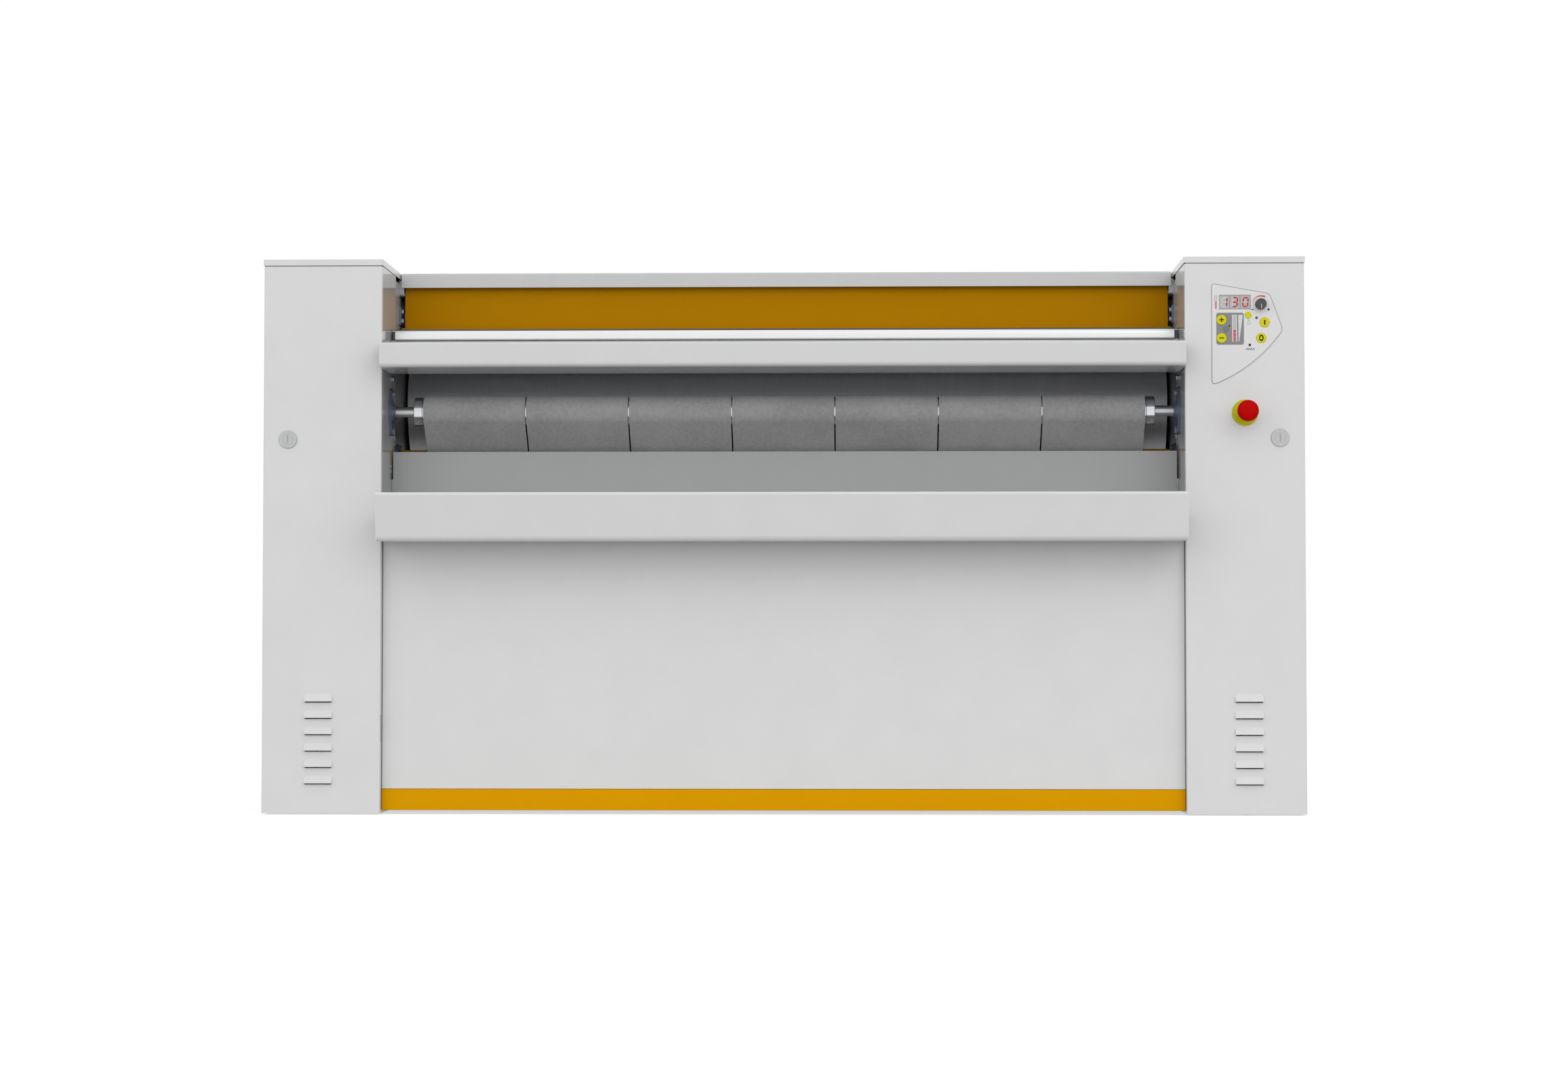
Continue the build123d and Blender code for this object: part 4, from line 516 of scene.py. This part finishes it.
# ---------------------------------------------------------------- sheet metal and castings
EDGES = {                       # node: width of its rounded edges in millimetres
    "left_top_cap": 0.7, "right_top_cap": 0.7, "front_panel": 1.2, "plinth_strip": 0.8,
    "feed_shelf": 0.5, "feed_plate": 0.4, "linen_tray": 0.5, "top_cover": 0.5,
    "hand_guard": 0.4, "rear_cover": 0.5, "lower_beam": 0.4, "feed_nose_bar": 0.2,
    "left_outer_panel": 0.5, "right_outer_panel": 0.5, "left_inner_casing": 0.4,
    "right_inner_casing": 0.4, "left_rear_panel": 0.5, "right_rear_panel": 0.4,
    "left_side_frame": 0.6, "right_side_frame": 0.6, "cross_members": 0.6,
    "cover_brackets": 0.3, "roller_bearings": 0.8, "cylinder_bearings": 1.0,
    "wall_bolts": 0.5, "ironing_belts": 0.8, "gearmotor": 1.2, "cylinder_sprocket": 0.3,
    "motor_sprocket": 0.3, "levelling_feet": 0.5, "emergency_stop_base": 0.5,
    "left_lock_barrel": 0.3, "right_lock_barrel": 0.3, "left_lock_core": 0.15,
    "right_lock_core": 0.15, "door_hinges": 0.3, "cable_gland": 0.4,
}


def finish_nodes():
    """Every CAD node but the outfeed roller, first those with rounded edges."""
    for node, width in EDGES.items():
        finished(node, width * MM)
    for node in sorted(set(nodes) - set(EDGES) - {"outfeed_roller"}):
        finished(node)


def second_finish(node, material, chosen):
    """Gives the chosen faces of a finished piece a finish of their own."""
    mesh = bpy.data.objects[f"{node}_finished"].data
    mesh.materials.append(material)
    for face in mesh.polygons:
        if chosen(face):
            face.material_index = 1


RAIL_DEPTH = 40 * MM            # the tray's rail lies within this depth of its front
UPRIGHT = -0.9                  # a face that looks at the operator has a normal under this
ROLL_FRONT, ROLL_RISE = -0.1, 0.62      # limits of the normals on the roll's upper part, painted dark as a reflection of the shaded gap over it


def painted_shade_faces():
    """Painted shade: dark steel on the feed plate's riser and a darker trough behind the tray's
    rail; and a painted dark reflection on the rolled upper edge of the nose bar.
    """
    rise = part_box("feed_nose_bar")[0].z
    second_finish("feed_plate", painted_shade_steel,
                  lambda face: face.normal.y < UPRIGHT and face.center.z > rise)
    rail_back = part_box("linen_tray")[0].y + RAIL_DEPTH
    second_finish("linen_tray", trough_painted_shade, lambda face: face.center.y > rail_back)
    second_finish("feed_nose_bar", painted_shade_steel,
                  lambda face: face.normal.z > ROLL_RISE and face.normal.y < ROLL_FRONT)


def guard_upper_edge():
    """The guard's plate runs on behind the cover's lip."""
    inset, behind_lip, plate, lap, rise = 6 * MM, 15 * MM, 2 * MM, 0.5 * MM, 5 * MM
    low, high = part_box("hand_guard")
    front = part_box("top_cover")[0].y + behind_lip
    bm = bmesh.new()
    box_between(bm, (low.x + inset, front, high.z - lap),
                (high.x - inset, front + plate, high.z + rise))
    piece("guard_upper_edge", bm, guard_ochre_painted_shade, "guard")


def door_seals():
    """Foam strips under the caps' edges, over the doors."""
    inset, front, back, over_door, under_cap = 3 * MM, 1.2 * MM, 9 * MM, 0.2 * MM, 0.02 * MM
    for side in ("left", "right"):
        low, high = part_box(f"{side}_door")
        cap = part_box(f"{side}_top_cap")[0]
        bm = bmesh.new()
        box_between(bm, (low.x + inset, FACE + front, high.z + over_door),
                    (high.x - inset, FACE + back, cap.z - under_cap))
        piece(f"{side}_door_seal", bm, seal_foam, "frame")


# ---------------------------------------------------------------- outfeed roller
RING_HALF = 696.5 * MM          # from the machine's middle to a ring's outer face
RING_WIDTH = 16.5 * MM
RING_CHAMFER = 1.2 * MM
RING_INNER = RING_HALF - RING_WIDTH + 0.4 * MM
JOURNAL = 10 * MM               # radius of the shaft
TUBE_WALL = 2.7 * MM
TUBE_STEP = 0.3 * MM            # the tube is this much smaller than its rings
SCREW_ANGLE = -50.0             # below the middle, on the operator's side
SCREW_X = RING_INNER + 4.0 * MM
HOLE_RADIUS = 1.9 * MM
SCREW_RADIUS = 1.75 * MM


def outfeed_roller():
    centre = axis_of("outfeed_roller_spin")
    low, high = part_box("outfeed_roller")
    radius = (high.z - low.z) / 2
    end, tube_end, skin = high.x, RING_HALF - RING_WIDTH, radius - TUBE_STEP
    tube = [(-tube_end, skin), (tube_end, skin), (tube_end, skin - TUBE_WALL),
            (-tube_end, skin - TUBE_WALL)]
    piece("outfeed_tube", turned(tube, centre), roller_steel, "outfeed_roll",
          ("outfeed_roller",))
    for side, way in (("left", -1), ("right", 1)):
        start = RING_INNER + 2 * MM
        shaft = [(way * start, 0), (way * start, JOURNAL), (way * (end - 1 * MM), JOURNAL),
                 (way * end, JOURNAL - 1 * MM), (way * end, 0)]
        piece(f"outfeed_shaft_{side}", turned(shaft, centre, 64), shaft_steel, "outfeed_roll")
        bore, rim, rounding, arris = JOURNAL + 0.2 * MM, RING_CHAMFER, 0.35 * RING_CHAMFER, 0.4 * MM
        hub = [(way * RING_INNER, bore), (way * RING_INNER, radius - arris),
               (way * (RING_INNER + arris), radius), (way * (RING_HALF - rim), radius),
               (way * (RING_HALF - rounding), radius - rounding),
               (way * RING_HALF, radius - rim), (way * RING_HALF, JOURNAL + 1.5 * MM),
               (way * (RING_HALF - 1 * MM), bore)]
        made = piece(f"outfeed_ring_{side}", turned(hub, centre), polished_ring, "outfeed_roll")
        place = screw_frame(centre, way * SCREW_X, radius)
        screw_hole(made, place)
        socket_screw(f"outfeed_screw_{side}", place)


def screw_frame(centre, x, radius):
    """Matrix whose Z points out of the ring where its set screw is."""
    swing = radians(SCREW_ANGLE)
    out = Vector((0, -cos(swing), sin(swing)))
    place = centre + Vector((x, 0, 0)) + out * radius
    return Matrix.Translation(place) @ out.to_track_quat("Z", "X").to_matrix().to_4x4()


def screw_hole(made, place):
    bm = bmesh.new()
    bmesh.ops.create_cone(bm, cap_ends=True, segments=32, radius1=HOLE_RADIUS, radius2=HOLE_RADIUS,
                          depth=9 * MM, matrix=place)
    carve(made, bm, "DIFFERENCE")


def socket_screw(name, place):
    """The set screw down in its hole, with a socket in its head."""
    lip, socket, wall, down = 0.7 * MM, 0.8 * MM, 0.3 * MM, 1.6 * MM
    bm = bmesh.new()
    bmesh.ops.create_circle(bm, cap_ends=True, segments=24, radius=SCREW_RADIUS)
    made = bmesh.ops.inset_region(bm, faces=bm.faces[:], thickness=lip)
    core = [f for f in bm.faces if f not in made["faces"]]
    sunk = bmesh.ops.extrude_face_region(bm, geom=core)
    deep = [g for g in sunk["geom"] if isinstance(g, bmesh.types.BMVert)]
    bmesh.ops.translate(bm, verts=deep, vec=(0, 0, -socket))
    bmesh.ops.delete(bm, geom=core, context="FACES")
    bmesh.ops.solidify(bm, geom=bm.faces[:], thickness=wall)
    bmesh.ops.recalc_face_normals(bm, faces=bm.faces)
    bmesh.ops.transform(bm, verts=bm.verts, matrix=place @ Matrix.Translation((0, 0, -down)))
    piece(name, bm, oiled_steel, "outfeed_roll")


# ---------------------------------------------------------------- printed controls
# X and height in millimetres, as measured on the column's front.
BORDER_INSET, BORDER = 0.35, 0.95       # the overlay's printed border: from the edge, and its width
OVERLAY_EASE = (11.5, 7.5, 7.5, 8.0)    # how far each corner's rounding reaches along its sides
DISPLAY = (807.9, 866.1, 930.7, 957.1)  # left, right, foot, top
PAD = (802.6, 853.4, 864.9, 924.2)
TRACK = (831.4, 840.9, 870.4, 920.4)
WEDGE = (843.2, 851.3, 871.0, 920.4)
KNOB = (884.4, 939.8)
KEYS = {"faster": (812.3, 911.0), "slower": (812.3, 877.3), "start": (891.8, 906.1),
        "stop": (885.3, 877.3)}
LAMP_PLACES = {"lamp_running": (876.8, 914.7), "lamp_heating": (864.1, 864.5)}
ROLLER_ICON = (820.6, 893.6)
SPEED_DOT = (826.6, 899.8)
THERMOMETER = (802.0, 932.2)            # middle of its bulb
DROP = (862.6, 904.6)
KNOB_MINUS, KNOB_PLUS = (869.4, 930.0), (899.0, 930.1)
ZIGZAG = (857.0, 873.4, 856.8)          # left, right and middle height
FIGURES = "130"
SEGMENTS = {"0": "abcdef", "1": "bc", "3": "abcdg"}
SLANT = 5.0                             # degrees, of the figures
FIGURE = (4.3, 3.6, 11.2, 19.0)         # its place in a cell, its width and height
BAR, BAR_GAP = 2.4, 0.5                 # width of a figure's bars, and their distance
RUNGS, LIT_RUNGS = 20, 9
DASHES = 17
MEETING = 0.01                          # corners of a drawing closer than this are one
KEY_MARK = 4.4                          # half the length of the signs on the large keys


def place_along(points, start, step, reach):
    """The place that lies a given way along a closed outline from a corner, and the next point."""
    here, left = start, reach
    while True:
        following = (here + step) % len(points)
        gap = (points[following] - points[here]).length
        if gap >= left:
            return points[here].lerp(points[following], left / gap), following
        left -= gap
        here = following


def eased(points, corners, reaches, steps=8):
    """A closed outline with its corners rounded; corners are the numbers of its points."""
    drawn = []
    for i, (corner, reach) in enumerate(zip(corners, reaches)):
        enter = place_along(points, corner, -1, reach)[0]
        leave, onward = place_along(points, corner, 1, reach)
        for k in range(steps + 1):
            t = k / steps
            drawn.append(enter.lerp(points[corner], t).lerp(points[corner].lerp(leave, t), t))
        nearest = place_along(points, corners[(i + 1) % len(corners)], -1,
                              reaches[(i + 1) % len(corners)])[1]
        while onward != (nearest + 1) % len(points):
            drawn.append(points[onward])
            onward = (onward + 1) % len(points)
    return drawn


def overlay_outline():
    """The overlay's edge: three straight sides and one long arc at the lower right."""
    crest, shoulder = Vector((793.5, 979.6)), Vector((901.5, 960.3))
    foot, sag, side = Vector((793.5, 789.2)), Vector((880.4, 841.0)), Vector((926.0, 893.0))
    chord = side - foot
    across = Vector((-chord.y, chord.x)).normalized()
    rise = (sag - foot).dot(across)
    along = (sag - foot).dot(chord.normalized())
    offset = (along * (along - chord.length) + rise * rise) / (2 * rise)
    centre = foot + chord / 2 + across * offset
    radius = (foot - centre).length
    first = atan2(foot.y - centre.y, foot.x - centre.x)
    last = atan2(side.y - centre.y, side.x - centre.x)
    steps = 24
    arc = []
    for i in range(steps + 1):
        turn = first + (last - first) * i / steps
        arc.append(centre + radius * Vector((cos(turn), sin(turn))))
    return eased(arc + [shoulder, crest], (0, steps, steps + 1, steps + 2), OVERLAY_EASE)


def overlay_shape(bm):
    flat(bm, *overlay_outline())
    bmesh.ops.remove_doubles(bm, verts=bm.verts, dist=MEETING)


def trim_overlay():
    """Rounds the overlay's corners as far as its printed border."""
    through = 8
    bm = bmesh.new()
    overlay_shape(bm)
    stood_up(bm, through, FILM + through / 2 * MM)
    carve(bpy.data.objects["control_overlay_finished"], bm, "INTERSECT")


def overlay_border(bm):
    overlay_shape(bm)
    bmesh.ops.inset_region(bm, faces=bm.faces[:], thickness=BORDER_INSET, use_boundary=True)
    outer = [f for f in bm.faces if any(e.is_boundary for e in f.edges)]
    bmesh.ops.delete(bm, geom=outer, context="FACES")
    rim = bmesh.ops.inset_region(bm, faces=bm.faces[:], thickness=BORDER, use_boundary=True)
    inside = [f for f in bm.faces if f not in rim["faces"]]
    bmesh.ops.delete(bm, geom=inside, context="FACES")


def segment(bm, x, y, width, height, which):
    """One bar of a seven-segment figure whose lower left corner is at x, y."""
    half, gap = BAR / 2, BAR_GAP
    mid = y + height / 2
    left, right = x + half, x + width - half
    rows = {"a": y + height - half, "g": mid, "d": y + half}
    if which in rows:
        level = rows[which]
        flat(bm, (left + gap, level), (left + gap + half, level - half),
             (right - gap - half, level - half), (right - gap, level),
             (right - gap - half, level + half), (left + gap + half, level + half))
        return
    column = left if which in "ef" else right
    low, high = (y + half, mid) if which in "ce" else (mid, y + height - half)
    flat(bm, (column, low + gap), (column + half, low + gap + half),
         (column + half, high - gap - half), (column, high - gap),
         (column - half, high - gap - half), (column - half, low + gap + half))


def cells():
    """Left edge and width of the display's three cells."""
    left, right = DISPLAY[:2]
    wide = (right - left) / len(FIGURES)
    return [(left + wide * i, wide) for i in range(len(FIGURES))]


def figures(bm, lit):
    foot, top = DISPLAY[2:]
    inset, rise, width, height = FIGURE
    for character, (left, _) in zip(FIGURES, cells()):
        for which in "abcdefg":
            if (which in SEGMENTS[character]) == lit:
                segment(bm, left + inset, foot + rise, width, height, which)
    for v in bm.verts:
        v.co.x += (v.co.y - (foot + top) / 2) * tan(radians(SLANT))


def display_cells(bm):
    side, end, corner = 1.0, 1.2, 0.4
    foot, top = DISPLAY[2:]
    for left, wide in cells():
        strip(bm, left + side, left + wide - side, foot + end, top - end, corner)


def display_bezel(bm):
    inset, corner = 0.1, 0.5
    left, right, foot, top = DISPLAY
    strip(bm, left + inset, right - inset, foot + inset, top - inset, corner)


def display():
    glass = FILM + 0.4 * MM
    layers = (
        ("display_bezel", display_grey, display_bezel),
        ("display_cells", cell_grey, display_cells),
        ("display_figures_off", segment_off, lambda bm: figures(bm, False)),
        ("display_figures_lit", segment_lit, lambda bm: figures(bm, True)),
    )
    for layer, (name, material, draw) in enumerate(layers):
        printed(name, draw, material, front=glass - min(layer, 2) * PRINT)


def track_levels(bm, first, last):
    """Rungs up the track; each fills most of its pitch."""
    side, end, filled = 2.2, 0.8, 0.7
    left, right, foot, top = TRACK
    pitch = (top - foot - 2 * end) / RUNGS
    for i in range(first, last):
        low = foot + end + pitch * i
        strip(bm, left + side, right - side, low, low + pitch * filled)


def wedge_scale(bm):
    """White dashes that grow longer towards the top."""
    left, right, foot, top = WEDGE
    pitch = (top - foot) / DASHES
    shortest, lean, filled = 1.3, 0.5, 0.85
    for i in range(DASHES):
        share = i / (DASHES - 1)
        start = left + lean * (1 - share)
        reach = shortest + (right - left - shortest) * share
        strip(bm, start, start + reach, foot + pitch * i, foot + pitch * (i + filled))


def roller_icon(bm):
    """A roller with the sheet that comes off it."""
    x, z = ROLLER_ICON
    ring(bm, x, z, 5.0, 4.1)
    ring(bm, x, z, 2.9, 2.2, 32)
    strip(bm, x - 2.6, x + 1.2, z - 6.2, z - 5.4)


def thermometer_red(bm):
    """A column of bars over a bulb."""
    bars, half, first, pitch, tall, bulb = 5, 1.8, 1.8, 2.4, 1.9, 1.4
    x, z = THERMOMETER
    for i in range(bars):
        level = z + first + i * pitch
        strip(bm, x - half, x + half, level, level + tall)
    disc(bm, x, z, bulb, 24)


def thermometer_grey(bm):
    """Two rows of marks over the column."""
    wide, tall = 1.5, 2.0
    x, z = THERMOMETER
    for rise in (14.7, 18.2, 21.8):
        for left in (x - 2.6, x + 0.9):
            strip(bm, left, left + wide, z + rise, z + rise + tall)


def knob_scale(bm):
    """Red arc over the knob that grows wider clockwise."""
    x, z = KNOB
    start, stop = radians(170), radians(58)
    inner = 14.2
    steps = 28
    verts = [bm.verts.new((x + inner * cos(start), z + inner * sin(start), 0)),
             bm.verts.new((x + (inner + 1) * cos(start), z + (inner + 1) * sin(start), 0))]
    edge = bm.edges.new(verts)
    bmesh.ops.spin(bm, geom=[*verts, edge], cent=(x, z, 0), axis=(0, 0, 1), dvec=(0, 0, 0),
                   angle=stop - start, steps=steps, use_duplicate=False)
    for v in bm.verts:
        away = Vector((v.co.x - x, v.co.y - z))
        if away.length > inner + 0.5:
            share = (start - atan2(away.y, away.x)) / (start - stop)
            reach = inner + 0.5 + 2.9 * share
            v.co.x = x + away.normalized().x * reach
            v.co.y = z + away.normalized().y * reach


def minus_sign(bm, x, z, half, thick):
    strip(bm, x - half, x + half, z - thick / 2, z + thick / 2)


def plus_sign(bm, x, z, half, thick):
    minus_sign(bm, x, z, half, thick)
    strip(bm, x - thick / 2, x + thick / 2, z + thick / 2, z + half)
    strip(bm, x - thick / 2, x + thick / 2, z - half, z - thick / 2)


def knob_signs(bm):
    minus_sign(bm, *KNOB_MINUS, 2.3, 1.5)
    plus_sign(bm, *KNOB_PLUS, 2.4, 1.6)


def heating_sign(bm):
    """Zigzag of a heating element."""
    left, right, middle = ZIGZAG
    rise, thick, teeth = 3.2, 1.5, 8
    pitch = (right - left) / teeth
    for i in range(teeth):
        way = -1 if i % 2 == 0 else 1
        low, high = middle + way * rise / 2, middle - way * rise / 2
        start, stop = left + pitch * i, left + pitch * (i + 1)
        flat(bm, (start, low - thick / 2), (stop, high - thick / 2), (stop, high + thick / 2),
             (start, low + thick / 2))
    bmesh.ops.remove_doubles(bm, verts=bm.verts, dist=MEETING)


def drop_icon(bm):
    """Outline of a drop under the small key, a ring drawn out to a tip, and a line beside it."""
    shoulder, stretch, taper, sharpest = 1.0, 1.9, 3.6, 0.12
    x, z = DROP
    ring(bm, x, z, 2.9, 2.3, 32)
    for v in bm.verts:
        if v.co.y > z + shoulder:
            lift = (v.co.y - z - shoulder) * stretch
            v.co.y += lift
            v.co.x = x + (v.co.x - x) * max(sharpest, 1 - lift / taper)
    strip(bm, x - 1.6, x - 1.1, z + 5.0, z + 8.4)


def key_hole(made, node):
    """The hole in a printed pad that a key passes through."""
    clearance = 0.2 * MM
    low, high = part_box(node)
    across = Matrix.Translation((low + high) / 2) @ Matrix.Rotation(pi / 2, 4, "X")
    radius = (high.x - low.x) / 2 + clearance
    bm = bmesh.new()
    bmesh.ops.create_cone(bm, cap_ends=True, segments=64, radius1=radius, radius2=radius,
                          depth=30 * MM, matrix=across)
    carve(made, bm, "DIFFERENCE")


def key_signs():
    """Plus, minus, I and 0 on the four large keys."""
    draw = {
        "faster": ("symbol_plus", lambda bm, x, z: plus_sign(bm, x, z, KEY_MARK, 1.9)),
        "slower": ("symbol_minus", lambda bm, x, z: minus_sign(bm, x, z, KEY_MARK, 1.9)),
        "start": ("symbol_on", lambda bm, x, z: minus_sign(bm, x, z, 1.25, 2 * KEY_MARK)),
        "stop": ("symbol_off", lambda bm, x, z: ring(bm, x, z, 5.8, 3.2, wide=0.74)),
    }
    for body, (name, sign) in draw.items():
        x, z = KEYS[body]
        printed(name, lambda bm: sign(bm, x, z), print_black, body, KEY_FRONT)


def control_prints():
    printed("overlay_border", overlay_border, print_line)
    pad = printed("level_pad", lambda bm: strip(bm, *PAD, 4.0), print_pad)
    key_hole(pad, "key_faster")
    key_hole(pad, "key_slower")
    on_pad, on_track = FILM - PRINT, FILM - 2 * PRINT
    for name, draw, material, front in (
            ("level_track", lambda bm: strip(bm, *TRACK, 1.2), segment_off, on_pad),
            ("level_rungs_lit", lambda bm: track_levels(bm, 0, LIT_RUNGS), segment_lit, on_track),
            ("level_rungs_off", lambda bm: track_levels(bm, LIT_RUNGS, RUNGS), cell_grey, on_track),
            ("level_wedge", wedge_scale, print_white, on_pad),
            ("roller_icon", roller_icon, print_dark, on_pad),
            ("speed_dot", lambda bm: disc(bm, *SPEED_DOT, 1.5, 24), print_black, on_pad),
            ("temperature_dashes_red", thermometer_red, print_red, FILM),
            ("temperature_dashes_grey", thermometer_grey, print_line, FILM),
            ("knob_scale", knob_scale, print_red, FILM),
            ("knob_signs", knob_signs, print_black, FILM),
            ("heating_sign", heating_sign, print_black, FILM),
            ("drop_icon", drop_icon, print_line, FILM)):
        printed(name, draw, material, front=front)
    key_signs()


def knob_pointer():
    half, near, far, sunk = 0.45 * MM, 0.4 * MM, 9.2 * MM, 0.4 * MM
    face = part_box("control_knob")[0].y
    x, z = KNOB[0] * MM, LIFT + KNOB[1] * MM
    bm = bmesh.new()
    box_between(bm, (x - half, face - 0.15 * MM, z - far), (x + half, face + sunk, z - near))
    rounded(bm, 0.08 * MM)
    piece("knob_pointer", bm, print_white, "knob")


def lamps():
    """Domed lenses over the two lamps."""
    radius, rise, rim, steps = 2.35 * MM, 1.9 * MM, 0.5 * MM, 8
    for (name, (x, z)), material in zip(LAMP_PLACES.items(), (lamp_green, lamp_red)):
        points = [(0.0, 0.0), (0.0, radius)]
        for i in range(1, steps + 1):
            turn = pi / 2 * i / steps
            points.append((rise * sin(turn) + rim, radius * cos(turn)))
        centre = Vector((x * MM, FILM + 0.4 * MM, LIFT + z * MM))
        bm = turned(points, centre, 40, axis=(0, -1, 0))
        piece(name, bm, material, "door_r")


# ---------------------------------------------------------------- room, light, camera
FLOOR_REACH = 40                # metres from the middle to the floor's edge
FLOOR_TONE = 0.6                # what the floor reflects of the light that falls on it
FLOOR_GLOW = 0.62               # lifts the floor to white where it is seen
AMBIENT = 0.47                  # light from every side
FRONTAL = 1.34                  # added from the operator's side


def seen_rays(tree):
    """1 for camera, glossy and transmission rays, and 0 for the light that falls on things."""
    path = tree.nodes.new("ShaderNodeLightPath")
    seen = arithmetic(tree, "MAXIMUM", path.outputs["Is Camera Ray"],
                      path.outputs["Is Glossy Ray"])
    return arithmetic(tree, "MAXIMUM", seen, path.outputs["Is Transmission Ray"])


def floor():
    bm = bmesh.new()
    bmesh.ops.create_grid(bm, x_segments=1, y_segments=1, size=FLOOR_REACH)
    made = shown("floor", mesh_of("floor", bm))
    material = bpy.data.materials.new("pale_floor")
    material.use_nodes = True
    tree = material.node_tree
    tree.nodes.clear()
    leave = tree.nodes.new("ShaderNodeOutputMaterial")
    matt = add(tree, "ShaderNodeBsdfDiffuse", Color=(FLOOR_TONE, FLOOR_TONE, FLOOR_TONE, 1))
    glow = tree.nodes.new("ShaderNodeEmission")
    strength = arithmetic(tree, "MULTIPLY", seen_rays(tree), FLOOR_GLOW)
    both = tree.nodes.new("ShaderNodeAddShader")
    wire(tree, (strength, glow.inputs["Strength"]), (matt.outputs[0], both.inputs[0]),
         (glow.outputs[0], both.inputs[1]), (both.outputs[0], leave.inputs["Surface"]))
    made.data.materials.append(material)


def world():
    """White all round for the camera; the light it sheds is stronger from the operator's side."""
    made = bpy.data.worlds.new("studio")
    bpy.context.scene.world = made
    made.use_nodes = True
    tree = made.node_tree
    tree.nodes.clear()
    leave = tree.nodes.new("ShaderNodeOutputWorld")
    white = add(tree, "ShaderNodeBackground", Color=(1, 1, 1, 1), Strength=1.0)
    dim = add(tree, "ShaderNodeBackground", Color=(1, 1, 1, 1))
    way = tree.nodes.new("ShaderNodeSeparateXYZ")
    facing = arithmetic(tree, "MAXIMUM", arithmetic(tree, "MULTIPLY", way.outputs["Y"], -1.0), 0.0)
    level = arithmetic(tree, "ADD", arithmetic(tree, "MULTIPLY", facing, FRONTAL), AMBIENT)
    mix = tree.nodes.new("ShaderNodeMixShader")
    wire(tree, (tree.nodes.new("ShaderNodeTexCoord").outputs["Generated"], way.inputs[0]),
         (level, dim.inputs["Strength"]), (seen_rays(tree), mix.inputs[0]),
         (dim.outputs[0], mix.inputs[1]), (white.outputs[0], mix.inputs[2]),
         (mix.outputs[0], leave.inputs["Surface"]))


def key_lamp():
    """A soft lamp over the operator's right shoulder."""
    place, target = Vector((2.4, -4.4, 3.4)), Vector((0, 0, 0.5))
    data = bpy.data.lights.new("key", "AREA")
    data.shape = "RECTANGLE"
    data.size = data.size_y = 2.2
    data.energy = 16
    made = shown("key", data)
    made.location = place
    made.rotation_euler = (target - place).to_track_quat("-Z", "Y").to_euler()


def camera():
    """The photograph's view: from the operator's side, low, and tilted up a little."""
    data = bpy.data.cameras.new("camera")
    data.sensor_width = 36.0
    data.lens = 73.335
    data.clip_end = 100.0
    made = shown("camera", data)
    made.location = (0.15794, -6.16756, 0.29103)
    made.rotation_euler = (radians(92.2016), 0.0, radians(1.498))
    bpy.context.scene.camera = made


# ---------------------------------------------------------------- everything
finish_nodes()
painted_shade_faces()
guard_upper_edge()
door_seals()
outfeed_roller()
display()
trim_overlay()
control_prints()
knob_pointer()
lamps()
floor()
world()
key_lamp()
camera()
bpy.context.scene.view_settings.view_transform = "Standard"
